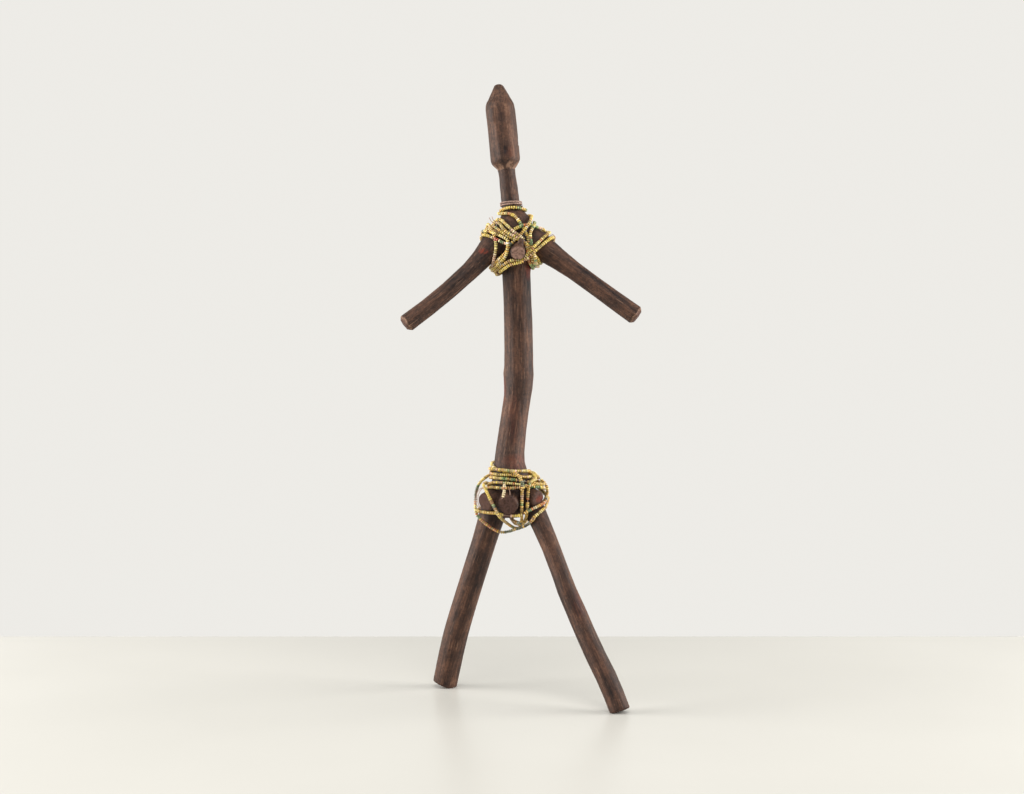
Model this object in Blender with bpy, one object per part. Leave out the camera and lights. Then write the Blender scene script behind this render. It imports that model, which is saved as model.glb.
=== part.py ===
"""A carved stick doll made from one whorled branch, with bead strings at its chest and hips.

The branch stands upside down. Its leader is the neck and head, one whorl of side branches gives
the arms, the next whorl gives the legs, and the branches that were not wanted are cut to stubs.
All sizes are in metres. Routes are drawn in millimetres on a figure of the drawn height, seen
from the front: x to the right, y away from the viewer, z up from the floor.
"""

import math

import bmesh
import bpy
import numpy as np
from mathutils import Matrix, Vector
from mathutils.bvhtree import BVHTree
from mathutils.kdtree import KDTree

# Height of the figure, and the height in millimetres at which its routes are drawn
STATURE = 0.4896
DRAWN_STATURE = 489.6

# Radii of the limbs
HEAD_RADIUS = 0.0119
HEAD_TIP_RADIUS = 0.0026
NECK_RADIUS = 0.0070
TRUNK_RADIUS = 0.0114
CHEST_RADIUS = 0.0150
HIP_RADIUS = 0.0160
ARM_RADIUS = 0.0073
LEFT_LEG_RADIUS = 0.0100
RIGHT_LEG_RADIUS = 0.0078
STUB_RADIUS = 0.0078

# Depth to which the floor has worn the edge of each foot, and the slope of the left foot's sawn end
FOOT_WEAR = 0.0026
SOLE_SLOPE = math.radians(22)

# How far the doll leans back, as a share of the height, which keeps its weight over its feet
LEAN_BACK = 0.012

# Strings: radius of a bead, of the plain strand that stands for a row of them, and of the neck's thread
BEAD_RADIUS = 0.0013
STRAND_RADIUS = BEAD_RADIUS * 0.9
THREAD_RADIUS = 0.00065
STRING_GAP = 0.0003
THREAD_GAP = 0.0004

# Sides of a section of a limb, a stub and a string, and the length of limb between two sections
LIMB_SIDES = 18
STUB_SIDES = 12
STRING_SIDES = 5
SECTION_SPACING = 0.014

# A stub flares at its root and its end has a worn edge, both as shares of its radius
STUB_FLARE = 1.12
STUB_WEAR = 0.12

# Angles above which an edge of the wood, or of a string, looks sharp
WOOD_EDGE = math.radians(40)
STRING_EDGE = math.radians(80)

# Stages in which a string is drawn tight: spacing of its points, rounds, and height kept above its place,
# the first and last in bead radii
TIGHTENING = ((3.2, 30, 2.3), (2.0, 50, 0.86), (1.15, 90, 0.0))

# How far a point of a string moves in a round: to its neighbours' middle, back to its place, and off
# another turn
EASING = 0.5
HOLD = 0.45
PUSH = 0.5

# How much a turn that meets an earlier one climbs over it rather than slides off it
CLIMB = 0.9

# How far each way along its planned route a point looks for its place, in quarter steps
LOOK_ALONG = 36

# A finished string's straight runs: how far they may cut a bend, and their greatest length
BEND_CUT = BEAD_RADIUS * 0.32
LONGEST_RUN = BEAD_RADIUS * 8

# Axis of the stem, from the tip of the head down to the crotch
STEM_AXIS = (
    (-10.9, 0.0, 489.6),
    (-9.7, 0.0, 472.0),
    (-7.4, 0.0, 450.0),
    (-5.2, 0.0, 428.0),
    (-3.8, 0.0, 417.0),
    (-0.6, 0.0, 392.8),
    (3.0, 0.0, 370.0),
    (3.4, 1.0, 337.6),
    (4.9, 3.0, 304.0),
    (5.5, 4.5, 262.0),
    (4.6, 4.5, 241.6),
    (1.2, 3.5, 217.6),
    (-2.0, 1.0, 190.0),
    (-0.8, 0.0, 170.0),
    (0.5, 0.0, 143.0),
)

# Heights along the stem, each with the radius that it is a share of
STEM_PROFILE = (
    (489.6, HEAD_TIP_RADIUS, 1.0),
    (488.2, HEAD_RADIUS, 0.35),
    (474.0, HEAD_RADIUS, 0.95),
    (470.5, HEAD_RADIUS, 1.0),
    (450.0, HEAD_RADIUS, 1.0),
    (429.2, HEAD_RADIUS, 1.0),
    (427.0, HEAD_RADIUS, 0.95),
    (420.8, NECK_RADIUS, 0.98),
    (416.0, NECK_RADIUS, 0.94),
    (405.0, NECK_RADIUS, 1.02),
    (392.8, NECK_RADIUS, 1.07),
    (388.5, NECK_RADIUS, 1.12),
    (385.3, NECK_RADIUS, 1.42),
    (380.5, CHEST_RADIUS, 0.88),
    (374.0, CHEST_RADIUS, 0.99),
    (367.0, CHEST_RADIUS, 1.0),
    (360.0, CHEST_RADIUS, 1.0),
    (350.0, CHEST_RADIUS, 0.86),
    (337.6, TRUNK_RADIUS, 0.99),
    (320.0, TRUNK_RADIUS, 0.98),
    (300.0, TRUNK_RADIUS, 1.0),
    (280.0, TRUNK_RADIUS, 1.01),
    (265.6, TRUNK_RADIUS, 1.03),
    (257.0, TRUNK_RADIUS, 1.07),
    (247.0, TRUNK_RADIUS, 1.02),
    (240.0, TRUNK_RADIUS, 0.96),
    (228.0, TRUNK_RADIUS, 0.95),
    (212.0, TRUNK_RADIUS, 0.97),
    (196.0, TRUNK_RADIUS, 1.02),
    (187.0, TRUNK_RADIUS, 1.09),
    (178.0, HIP_RADIUS, 0.90),
    (168.0, HIP_RADIUS, 1.0),
    (157.0, HIP_RADIUS, 1.0),
    (148.0, HIP_RADIUS, 0.80),
    (142.0, HIP_RADIUS, 0.45),
)

# Each limb: its name, radius, route outwards, and its radius at the points of the route as a share
LIMBS = (
    (
        "left_arm",
        ARM_RADIUS,
        (
            (2.0, 0.0, 372.0),
            (-10.0, -2.0, 364.5),
            (-19.0, -4.5, 355.5),
            (-30.9, -7.0, 341.8),
            (-57.1, -13.0, 317.6),
            (-84.6, -19.0, 295.8),
        ),
        (1.3, 1.62, 1.3, 1.02, 0.97, 1.0),
    ),
    (
        "right_arm",
        ARM_RADIUS,
        (
            (4.0, 0.0, 371.0),
            (18.0, -2.5, 362.5),
            (30.0, -5.0, 354.2),
            (46.4, -8.0, 341.9),
            (71.7, -13.0, 322.6),
            (98.8, -18.5, 302.4),
        ),
        (1.3, 1.55, 1.28, 1.02, 1.0, 1.02),
    ),
    (
        "left_leg",
        LEFT_LEG_RADIUS,
        (
            (-3.0, 1.0, 176.0),
            (-12.0, 4.5, 156.0),
            (-21.1, 11.0, 126.9),
            (-30.5, 18.0, 96.9),
            (-39.7, 25.0, 66.6),
            (-48.3, 32.0, 35.9),
            (-55.2, 39.2, 3.9),
        ),
        (0.9, 1.1, 0.99, 0.99, 1.0, 1.0, 1.01),
    ),
    (
        "right_leg",
        RIGHT_LEG_RADIUS,
        (
            (3.0, -1.5, 176.0),
            (12.5, -6.5, 160.0),
            (27.1, -15.6, 129.7),
            (37.7, -24.0, 102.4),
            (42.6, -28.3, 88.9),
            (48.6, -32.5, 75.4),
            (60.4, -40.9, 48.9),
            (73.2, -49.4, 22.9),
            (80.6, -55.2, 4.4),
        ),
        (1.0, 1.15, 0.93, 0.92, 0.96, 0.98, 1.0, 1.03, 1.02),
    ),
)

# Branches cut short: radius as a share of the stub radius, root, and middle of the cut end
STUBS = (
    ("chest_front", 0.76, (4.2, 0.0, 363.5), (4.8, -22.5, 352.0)),
    ("chest_twig", 0.31, (6.2, -18.6, 356.0), (6.9, -22.0, 363.6)),
    ("chest_back", 0.80, (2.5, 0.0, 363.0), (0.5, 21.0, 355.5)),
    ("hip_left", 0.97, (-3.0, 0.0, 164.0), (-21.8, -17.5, 156.0)),
    ("hip_middle", 1.03, (-1.0, 0.0, 162.0), (-3.2, -25.0, 154.5)),
    ("hip_right", 0.86, (3.0, 0.0, 166.0), (20.6, -17.0, 158.6)),
    ("hip_back_left", 0.95, (-2.0, 0.0, 164.0), (-14.0, 20.5, 157.0)),
    ("hip_back_right", 0.90, (2.0, 0.0, 164.0), (16.0, 18.0, 158.5)),
)

# Middle of the neck's thread, its turns, the steps in a turn, and its rise from one turn to the next
THREAD_MIDDLE = (-0.7, 0.0, 393.4)
THREAD_TURNS = 2
THREAD_STEPS = 16
THREAD_RISE = 2 * THREAD_RADIUS + THREAD_GAP

# Turns of the string at the chest, each a list of places that it passes, with how slack it hangs, 0 to 1
CHEST_TURNS = (
    (0, ((-7, 10, 388), (-11.5, 0, 387.8), (-8.5, -8, 388.6), (-4, -11, 389.8), (2, -11.5, 390.6),
         (8, -8.5, 390.2), (12, 0, 389), (0, 12, 388), (-12.5, 2, 386.6))),
    (0, ((-10.8, -7, 385.4), (-5.3, -12, 386.2), (-1.2, -13, 385), (1.8, -14, 382.8),
         (4.6, -14.5, 379.4), (7.6, -15.5, 375), (10.5, -16.5, 370.3), (12.6, -17, 366),
         (13, -17, 361), (14.5, -16, 355), (18.5, -13, 350), (23, -6, 347), (24, 4, 348),
         (16, 16, 354), (0, 18, 366), (-14, 14, 374), (-22, 5, 373))),
    (0, ((-23.5, -2, 372.3), (-20.1, -8, 372.8), (-16.5, -11.5, 372), (-12.5, -14, 370.2),
         (-8.3, -15.5, 369.3), (-4, -16.5, 368.6), (-0.5, -17, 369.6), (2.5, -16.5, 372),
         (6, -16, 374), (12, -14, 375.4), (19.9, -11, 375.6), (23.5, -8, 375.8), (27, -2, 373.5),
         (27, 8, 366), (14, 18, 352), (0, 17, 344), (-12, 10, 342))),
    (0, ((-15.5, -1, 342), (-14, -8, 344), (-11.5, -12, 346.7), (-8.8, -14, 349.5),
         (-5.8, -16, 352.2), (-3.1, -17.5, 354.9), (0, -18, 358.6), (2.8, -18, 362.2),
         (5.3, -17.5, 365.2), (6.8, -17, 367.8), (8.6, -16.5, 370.6), (10.8, -15.5, 373.3),
         (12.8, -14, 376.2), (14.9, -11.5, 379.6), (16.6, -6, 383), (14, 4, 385), (2, 14, 382),
         (-6, 16, 376), (8, 18, 368), (20, 10, 376))),
    (0, ((21, 0, 381.5), (20, -6, 381), (18.8, -9, 378.6), (17.2, -12, 374.4), (15.5, -14.5, 370.8),
         (13.8, -16, 367.6), (12.6, -17, 365), (12.9, -17, 362), (14.5, -16.5, 359), (17, -15, 354.5),
         (20, -11, 350.5), (24, -4, 347.5), (24, 6, 348), (10, 18, 348), (-8, 15, 356),
         (-20, 8, 366), (-21, 2, 373))),
    (0, ((-19, -4, 380), (-15.9, -9.5, 378.3), (-13.7, -12.5, 374.6), (-11.8, -14, 371.4),
         (-8.8, -15.5, 369), (-5.3, -16.5, 367.5), (-2.4, -17.5, 365.3), (0.8, -18.3, 363),
         (4.5, -19, 362.6), (8.5, -19, 361), (10.8, -17.5, 355), (12.6, -16, 348.5),
         (15, -12.5, 344.5), (18, -4, 342), (16, 10, 344), (0, 18, 352), (-12, 15, 366),
         (-17, 6, 381))),
    (0, ((-17, -3, 383), (-13.9, -9, 380.7), (-10.3, -12.5, 377), (-7.3, -14.5, 373.1),
         (-5.3, -15.5, 370.8), (-2.8, -16.5, 368.4), (-0.4, -17.5, 366.4), (2, -18.3, 364.6),
         (5.5, -19, 364), (9.2, -18.5, 361.5), (12.2, -17, 355.2), (14, -15, 349.6),
         (17, -11, 345.5), (20, -3, 343.5), (18, 10, 346), (4, 19, 346), (-10, 15, 358),
         (-16, 8, 376))),
    (0, ((-15.5, 0, 385), (-13.5, -7, 383.6), (-11.5, -10, 382), (-8.3, -12.5, 379.2),
         (-4.8, -14.5, 375.8), (-2.4, -16, 373.2), (0.1, -17, 370.6), (2.6, -18, 367.8),
         (5.4, -18.5, 365.4), (8.8, -18.5, 363.4), (12, -17.5, 358.5), (14.6, -16, 352.6),
         (17.6, -13.5, 349.8), (21, -8, 347), (23, 2, 347), (17, 14, 354), (6, 18, 366),
         (14, 14, 374), (26, 8, 372))),
    (0.7, ((30.5, 1, 370.9), (30, -5, 370.1), (28.5, -8, 368.3), (25.8, -11, 365.8),
           (23.3, -13.5, 363.5), (20.8, -15.5, 361.2), (18.4, -17.5, 359), (15.9, -19.5, 356.7),
           (13.2, -20.3, 353.9), (10.5, -18.5, 350.8), (7, -16.5, 349), (3, -16, 348.4),
           (-0.5, -16, 347.6), (-4, -15.5, 345.8), (-7.6, -13.5, 343.4), (-11, -9, 341),
           (-14, -2, 339.5), (-12, 10, 340), (4, 16, 344), (20, 15, 352), (33, 7, 362))),
    (0.7, ((34, 1, 367), (33.2, -6, 366.4), (30.2, -10, 364.3), (27, -12.5, 361.8),
           (24.3, -14.5, 359.6), (21.8, -16.5, 357.6), (19.4, -18.5, 355.6), (16.6, -20.5, 353.2),
           (13.8, -20.5, 350.4), (10.4, -18, 348), (6.5, -16.5, 346.6), (2.6, -16, 346),
           (-0.9, -15.5, 344.6), (-4.3, -14, 342.2), (-7.8, -11, 339.8), (-11.5, -5, 338),
           (-12, 4, 337.5), (0, 14, 341), (-10, 14, 346), (-18, 6, 344))),
    (0.5, ((-17, -1, 341), (-12.5, -10, 343), (-9.8, -13, 345.3), (-7.3, -15, 347.2),
           (-4.8, -17, 349.6), (-2.6, -18.3, 353), (-1.2, -19, 356.8), (-0.8, -19.3, 360),
           (-2.6, -19, 362.8), (-6, -17.5, 365.4), (-10.5, -15.5, 367.6), (-15.5, -12.5, 369.6),
           (-20, -8.5, 371), (-24, -1, 370.5), (-20, 9, 366), (-10, 15, 356), (-14, 13, 348),
           (-17, 6, 344))),
    (0.7, ((-20, 5, 374), (-17.5, -6, 375.5), (-14.2, -12.5, 369), (-12.9, -15, 363.5),
           (-12.5, -15.5, 360), (-12.4, -15.5, 356.5), (-13, -15, 353), (-14, -14, 349.5),
           (-15, -12, 346), (-17, -5, 342), (-15, 8, 342), (-14, 15, 352), (-22, 9, 366))),
    (0, ((-24.4, 0, 368.3), (-23.4, -5, 368), (-21.1, -8.5, 367.4), (-18.2, -11, 366.2),
         (-15.2, -13, 365), (-12.7, -14.5, 364.1), (-10.3, -16, 362.7), (-7.8, -17, 361.3),
         (-4.8, -18, 360.2), (-2.2, -18.8, 359.6))),
)

# Turns of the string at the hips
HIP_TURNS = (
    (0, ((0, 15, 184), (-15, 6, 187), (-10.5, -12, 181), (4.3, -15, 181), (15, -9, 181), (17, 4, 180),
         (3, 17, 179))),
    (0, ((-15, 9, 180), (-20, -2, 179), (-10.8, -14, 178), (0, -17, 178), (9.3, -16.5, 177),
         (20, -7, 177), (21, 5, 176), (8, 17, 175), (-10, 16, 174))),
    (0, ((-21, 4, 175), (-12.9, -14, 175.5), (0, -18, 174.5), (14.4, -16, 172.5), (24, -6, 170),
         (24, 6, 168), (14, 18, 169), (-8, 20, 169))),
    (0, ((-21, 8, 169), (-22, -4, 171), (-8.8, -18, 172), (3, -19, 171), (14.4, -17, 169),
         (25.5, -9, 167.5), (25, 6, 166), (12, 21, 168), (-8, 22, 168), (-22, 10, 166))),
    (0, ((-21, -7, 166.5), (-8.8, -19, 168), (1, -21, 168), (10, -20, 168), (19, -14, 168),
         (26, -2, 170), (18, 14, 174), (2, 18, 178), (-14, 12, 181), (-18, -2, 182), (-6, -15, 181))),
    (0, ((3, -17, 180), (7, -19, 174), (7.6, -21, 166), (7.6, -22, 158), (7.6, -20, 148),
         (7, -12, 138.5), (4, 0, 134.5), (0, 12, 140), (1, 22, 152), (3, 22, 166), (12, 16, 176),
         (20, 4, 179))),
    (0, ((19, -11, 174), (14, -18, 171), (12.7, -20, 166), (12.4, -21.5, 159.5), (11.5, -21, 151.5),
         (10.7, -17, 144.5), (9.3, -10, 139.5), (5, 2, 136), (-2, 14, 144), (-5, 22, 156),
         (-2, 23, 168), (10, 20, 175), (22, 8, 174))),
    (0, ((19, 14, 168), (4, 23, 161), (-12, 20, 154), (-25, 13, 149.5), (-29, 2, 148))),
    (0, ((-26.5, -8, 148.5), (-13, -18, 148), (-3.8, -21, 145.5), (4, -20, 147), (14.4, -19, 150.5),
         (24.4, -15, 154.5), (28, -4, 159), (25, 10, 164), (14, 21, 169), (-8, 22, 169),
         (-24, 8, 170))),
    (0.7, ((-22.8, -14, 170.5), (-20.5, -20, 166), (-18, -24, 160.9), (-15, -25, 155.2),
           (-12.4, -23, 150.2), (-9, -19.5, 144.5), (-5, -15.5, 140.5), (-1, -11.5, 137.2),
           (5, 0, 134), (12, 10, 140), (22, 10, 150), (27, 2, 160), (25, -6, 170),
           (16, 6, 178), (0, 16, 178), (-18, 10, 177))),
    (0.7, ((-25, -1, 172), (-28.5, -7, 165), (-29, -10, 155.6), (-29, -10, 147), (-26, -9, 143),
           (-19, -7, 137), (-11, -7, 132), (-5, -8, 131.5), (2, -10, 134.5), (9, -14, 136.5),
           (15, -19, 141))),
    (0, ((20, -19, 147), (27, -9, 153), (27, 5, 158), (22, 16, 165), (2, 21, 170), (-8, 19, 174))),
)

WOOD = ("stained_wood", (0.075, 0.030, 0.018), 0.55)
BEADS = ("yellow_glass_beads", (0.62, 0.50, 0.06), 0.25)
THREAD = ("cotton_thread", (0.42, 0.24, 0.18), 0.85)


def drawn(point):
    """A point of a drawn route, in metres on the figure at its stature, leaning back as it stands."""
    x, y, z = point
    return Vector((x, y + z * LEAN_BACK, z)) * (STATURE / DRAWN_STATURE)


def clear_scene():
    for item in list(bpy.data.objects):
        bpy.data.objects.remove(item, do_unlink=True)


def make_material(name, colour, roughness):
    material = bpy.data.materials.new(name)
    material.use_nodes = True
    shader = material.node_tree.nodes["Principled BSDF"]
    shader.inputs["Base Color"].default_value = (*colour, 1.0)
    shader.inputs["Roughness"].default_value = roughness
    shader.inputs["Metallic"].default_value = 0.0
    material.diffuse_color = (*colour, 1.0)
    return material


def curve_through(points, share):
    """The point that lies at a share, 0 to 1, of the way along a smooth curve through the points."""
    place = min(max(share, 0.0), 1.0) * (len(points) - 1)
    index = min(int(place), len(points) - 2)
    t = place - index
    start, end = points[index], points[index + 1]
    before = points[index - 1] if index else start * 2 - end
    after = points[index + 2] if index + 2 < len(points) else end * 2 - start
    return 0.5 * (
        2 * start
        + (end - before) * t
        + (2 * before - 5 * start + 4 * end - after) * t**2
        + (3 * start - before - 3 * end + after) * t**3
    )


def share_at_height(points, height):
    """How far along a falling route its curve passes a height."""
    low, high = 0.0, 1.0
    for _ in range(40):
        middle = (low + high) / 2
        if curve_through(points, middle).z > height:
            low = middle
        else:
            high = middle
    return (low + high) / 2


def sweep(name, centres, radii, sides):
    """A closed tube with a ring of vertices square to the route at each centre and flat caps."""
    mesh = bmesh.new()
    tangents = []
    for index in range(len(centres)):
        ahead = centres[min(index + 1, len(centres) - 1)]
        behind = centres[max(index - 1, 0)]
        tangents.append((ahead - behind).normalized())
    turn = Vector((0, 0, 1)).rotation_difference(tangents[0])
    rings = []
    for index, (centre, radius) in enumerate(zip(centres, radii)):
        if index:
            turn = tangents[index - 1].rotation_difference(tangents[index]) @ turn
        ring = bmesh.ops.create_circle(
            mesh,
            cap_ends=False,
            radius=radius,
            segments=sides,
            matrix=Matrix.LocRotScale(centre, turn, None),
        )
        rings.append(ring["verts"])
    for first, second in zip(rings, rings[1:]):
        for side in range(sides):
            after = (side + 1) % sides
            mesh.faces.new((first[side], first[after], second[after], second[side]))
    mesh.faces.new(rings[0])
    mesh.faces.new(rings[-1])
    bmesh.ops.recalc_face_normals(mesh, faces=mesh.faces[:])
    data = bpy.data.meshes.new(name)
    mesh.to_mesh(data)
    mesh.free()
    return bpy.data.objects.new(name, data)


def smooth_shading(item, angle):
    item.data.shade_smooth()
    item.data.set_sharp_from_angle(angle=angle)


def way_down(points):
    """The place where a leg's route meets the floor, and its direction there."""
    ankle, end = points[-2], points[-1]
    along = (end - ankle).normalized()
    return ankle + along * (ankle.z / -along.z), along


def stand(points, radius):
    """The route of a leg, its end moved along the leg until the lower edge of the foot meets the floor."""
    foot, along = way_down(points)
    middle = radius * math.sqrt(1 - along.z**2) - FOOT_WEAR
    return points[:-1] + [foot + along * (middle / along.z)]


def reach_below(points, radius):
    """The route of a leg, carried on through the floor so that its end can be sawn off."""
    foot, along = way_down(points)
    return points[:-1] + [foot + along * radius]


def make_stem():
    axis = [drawn(point) for point in STEM_AXIS]
    centres, radii = [], []
    for height, radius, share in STEM_PROFILE:
        place = share_at_height(axis, drawn((0, 0, height)).z)
        centres.append(curve_through(axis, place))
        radii.append(radius * share)
    return sweep("stem", centres, radii, LIMB_SIDES)


def make_limb(name, radius, route, shares):
    points = [drawn(point) for point in route]
    if name == "left_leg":
        points = reach_below(points, radius * shares[-1])
    if name == "right_leg":
        points = stand(points, radius * shares[-1])
    length = sum((b - a).length for a, b in zip(points, points[1:]))
    count = max(4, round(length / SECTION_SPACING))
    sizes = [Vector((radius * share, 0, 0)) for share in shares]
    places = [index / count for index in range(count + 1)]
    centres = [curve_through(points, place) for place in places]
    radii = [curve_through(sizes, place).x for place in places]
    return sweep(name, centres, radii, LIMB_SIDES)


def make_stub(name, share, root, end):
    first, last = drawn(root), drawn(end)
    radius = STUB_RADIUS * share
    rim = radius * STUB_WEAR
    before = last - (last - first).normalized() * rim
    centres = (first, first.lerp(before, 0.5), before, last)
    radii = (radius * STUB_FLARE, radius * (STUB_FLARE + 1) / 2, radius, radius - rim)
    return sweep(name, centres, radii, STUB_SIDES)


def make_floor():
    """The ground that has worn the lower edge of each foot flat, as a box under it."""
    mesh = bmesh.new()
    bmesh.ops.create_cube(mesh, size=1.0)
    bmesh.ops.scale(mesh, vec=(2 * STATURE, 2 * STATURE, STATURE), verts=mesh.verts)
    bmesh.ops.translate(mesh, vec=(0, 0, -STATURE / 2), verts=mesh.verts)
    data = bpy.data.meshes.new("floor_cutter")
    mesh.to_mesh(data)
    mesh.free()
    return bpy.data.objects.new("floor_cutter", data)


def make_sole_cutter():
    """What the saw took off the left foot, as a box under it that slopes down to the foot's inner edge."""
    radius, route, shares = next(limb[1:] for limb in LIMBS if limb[0] == "left_leg")
    foot, along = way_down([drawn(point) for point in route])
    inner = foot + Vector((radius * shares[-1] / math.sqrt(1 - along.x**2), 0, -FOOT_WEAR))
    box = make_floor()
    box.name = "sole_cutter"
    box.matrix_world = Matrix.Translation(inner) @ Matrix.Rotation(SOLE_SLOPE, 4, "Y")
    return box


def make_guide(item, collection, root):
    collection.objects.link(item)
    item.hide_render = True
    item.display_type = "WIRE"
    item.parent = root


def add_boolean(item, name, operation, operand):
    modifier = item.modifiers.new(name, "BOOLEAN")
    modifier.operation = operation
    modifier.solver = "EXACT"
    if isinstance(operand, bpy.types.Collection):
        modifier.operand_type = "COLLECTION"
        modifier.collection = operand
    else:
        modifier.object = operand


def make_figure(root, guides):
    branches = bpy.data.collections.new("branches")
    bpy.context.scene.collection.children.link(branches)
    branches.hide_render = True
    for limb in LIMBS:
        make_guide(make_limb(*limb), branches, root)
    for stub in STUBS:
        make_guide(make_stub(*stub), branches, root)
    floor = make_floor()
    make_guide(floor, guides, root)
    sole = make_sole_cutter()
    make_guide(sole, guides, root)
    figure = make_stem()
    figure.name = "wooden_figure"
    bpy.context.scene.collection.objects.link(figure)
    figure.data.materials.append(make_material(*WOOD))
    add_boolean(figure, "branches", "UNION", branches)
    add_boolean(figure, "sawn foot", "DIFFERENCE", sole)
    add_boolean(figure, "worn feet", "DIFFERENCE", floor)
    smooth_shading(figure, WOOD_EDGE)
    figure.parent = root
    return figure


def smooth_line(route, spacing):
    """Points at an even spacing along a smooth curve through a route."""
    steps = 12 * (len(route) - 1)
    return evenly([curve_through(route, step / steps) for step in range(steps + 1)], spacing)


def evenly(points, spacing=None, count=None):
    """The same line with its points evenly spaced, as an array."""
    line = np.array([tuple(point) for point in points])
    along = np.concatenate(([0.0], np.cumsum(np.linalg.norm(np.diff(line, axis=0), axis=1))))
    count = count or max(2, round(along[-1] / spacing) + 1)
    places = np.linspace(0.0, along[-1], count)
    return np.stack([np.interp(places, along, line[:, axis]) for axis in range(3)], axis=1)


def clear_of_wood(point, wood, reach):
    """The point, moved off the wood where it is nearer than the reach, and the way that leads off it."""
    surface, normal, _, distance = wood.find_nearest(point)
    away = point - surface
    if away.dot(normal) > 0:
        outward = away / distance
        short = reach - distance
    else:
        outward = normal
        short = reach + distance
    if short > 0:
        point = point + outward * short
    return point, outward


def pull_straight(line):
    """Moves each point of a line towards the middle of its neighbours."""
    line[1:-1] += EASING * (0.5 * (line[:-2] + line[2:]) - line[1:-1])


def tighten(route, slack, wood, laid):
    """A turn of string drawn tight round the wood and over the turns that are already laid."""
    reach = BEAD_RADIUS + STRING_GAP
    apart = 2 * BEAD_RADIUS + STRING_GAP
    finest = TIGHTENING[-1][0] * BEAD_RADIUS
    earlier = KDTree(len(laid))
    for index, point in enumerate(laid):
        earlier.insert(point, index)
    earlier.balance()
    places = smooth_line(route, finest)
    line = places
    for step, rounds, lift in TIGHTENING:
        spacing = step * BEAD_RADIUS
        line = evenly(line, spacing)
        goal = evenly(places, count=4 * len(line))
        for _ in range(rounds):
            pull_straight(line)
            for index in range(1, len(line) - 1):
                point = Vector(line[index])
                point, outward = clear_of_wood(point, wood, reach + lift * BEAD_RADIUS)
                near = goal[max(0, 4 * index - LOOK_ALONG) : 4 * index + LOOK_ALONG]
                slip = Vector(near[np.argmin(((near - point) ** 2).sum(axis=1))]) - point
                point += HOLD * (slip - outward * slip.dot(outward) * (1 - slack))
                if lift == 0.0:
                    for other, place, distance in earlier.find_range(point, apart):
                        if index * spacing + (len(laid) - place) * finest < 3 * BEAD_RADIUS:
                            continue
                        away = (point - other).normalized() + CLIMB * outward
                        point += away.normalized() * (apart - distance) * PUSH
                line[index] = clear_of_wood(point, wood, reach)[0]
    return eased(line, wood, reach)


def eased(line, wood, reach, rounds=10):
    """The line without its small kinks, still clear of the wood."""
    for _ in range(rounds):
        pull_straight(line)
        for index in range(1, len(line) - 1):
            line[index] = clear_of_wood(Vector(line[index]), wood, reach)[0]
    return line


def lay_string(turns, wood):
    """Middle line of a whole string, wound turn after turn."""
    laid = []
    finest = TIGHTENING[-1][0] * BEAD_RADIUS
    for number, (slack, turn) in enumerate(turns):
        own = ([laid[-1]] if laid else []) + [drawn(point) for point in turn]
        ahead = [drawn(point) for point in turns[number + 1][1][:2]] if number + 1 < len(turns) else []
        share = len(smooth_line(own, finest)) / len(smooth_line(own + ahead, finest))
        line = tighten(own + ahead, slack, wood, laid)
        kept = line[: max(2, round(share * len(line)))]
        laid += [Vector(point) for point in (kept[1:] if laid else kept)]
    return laid


def thinned(line):
    """The fewest points of a line whose straight runs stay close to it."""
    kept = [0]
    index = 2
    while index < len(line):
        start, end = line[kept[-1]], line[index]
        chord = end - start
        length = chord.length
        off = max((point - start).cross(chord).length / length for point in line[kept[-1] + 1 : index])
        if off > BEND_CUT or length > LONGEST_RUN:
            kept.append(index - 1)
        index += 1
    return [line[place] for place in kept] + [line[-1]]


def chords_off_wood(line, wood, reach, rounds=12):
    """The line with its points moved out until the straight runs between them are clear of the wood too."""
    for _ in range(rounds):
        for index in range(len(line) - 1):
            for share in (0.25, 0.5, 0.75):
                place = line[index].lerp(line[index + 1], share)
                move = clear_of_wood(place, wood, reach)[0] - place
                line[index] = line[index] + move * (1 - share)
                line[index + 1] = line[index + 1] + move * share
    return line


def make_string(name, turns, wood, material, root):
    line = chords_off_wood(thinned(lay_string(turns, wood)), wood, STRAND_RADIUS + STRING_GAP / 2)
    string = sweep(name, line, [STRAND_RADIUS] * len(line), STRING_SIDES)
    bpy.context.scene.collection.objects.link(string)
    string.data.materials.append(make_material(*material))
    smooth_shading(string, STRING_EDGE)
    string.parent = root


def make_thread(wood, root):
    """Thread wound round the neck, each turn just above the one before it."""
    middle = drawn(THREAD_MIDDLE)
    line = []
    for step in range(THREAD_TURNS * THREAD_STEPS + 1):
        turn = step / THREAD_STEPS
        angle = 2 * math.pi * turn
        height = (turn - THREAD_TURNS / 2) * THREAD_RISE
        place = middle + Vector((math.cos(angle) * NECK_RADIUS, math.sin(angle) * NECK_RADIUS, height))
        line.append(clear_of_wood(place, wood, THREAD_RADIUS + STRING_GAP)[0])
    thread = sweep("neck_thread", line, [THREAD_RADIUS] * len(line), STRING_SIDES)
    bpy.context.scene.collection.objects.link(thread)
    thread.data.materials.append(make_material(*THREAD))
    smooth_shading(thread, STRING_EDGE)
    thread.parent = root


def stand_at_origin(root):
    """Moves the doll so that the middle of its box's underside is the origin."""
    bpy.context.view_layer.update()
    graph = bpy.context.evaluated_depsgraph_get()
    corners = []
    for item in root.children:
        if not item.hide_render:
            corners += [item.matrix_world @ vertex.co for vertex in item.evaluated_get(graph).data.vertices]
    low = Vector([min(corner[axis] for corner in corners) for axis in range(3)])
    high = Vector([max(corner[axis] for corner in corners) for axis in range(3)])
    root.location = (-(low.x + high.x) / 2, -(low.y + high.y) / 2, -low.z)


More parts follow.
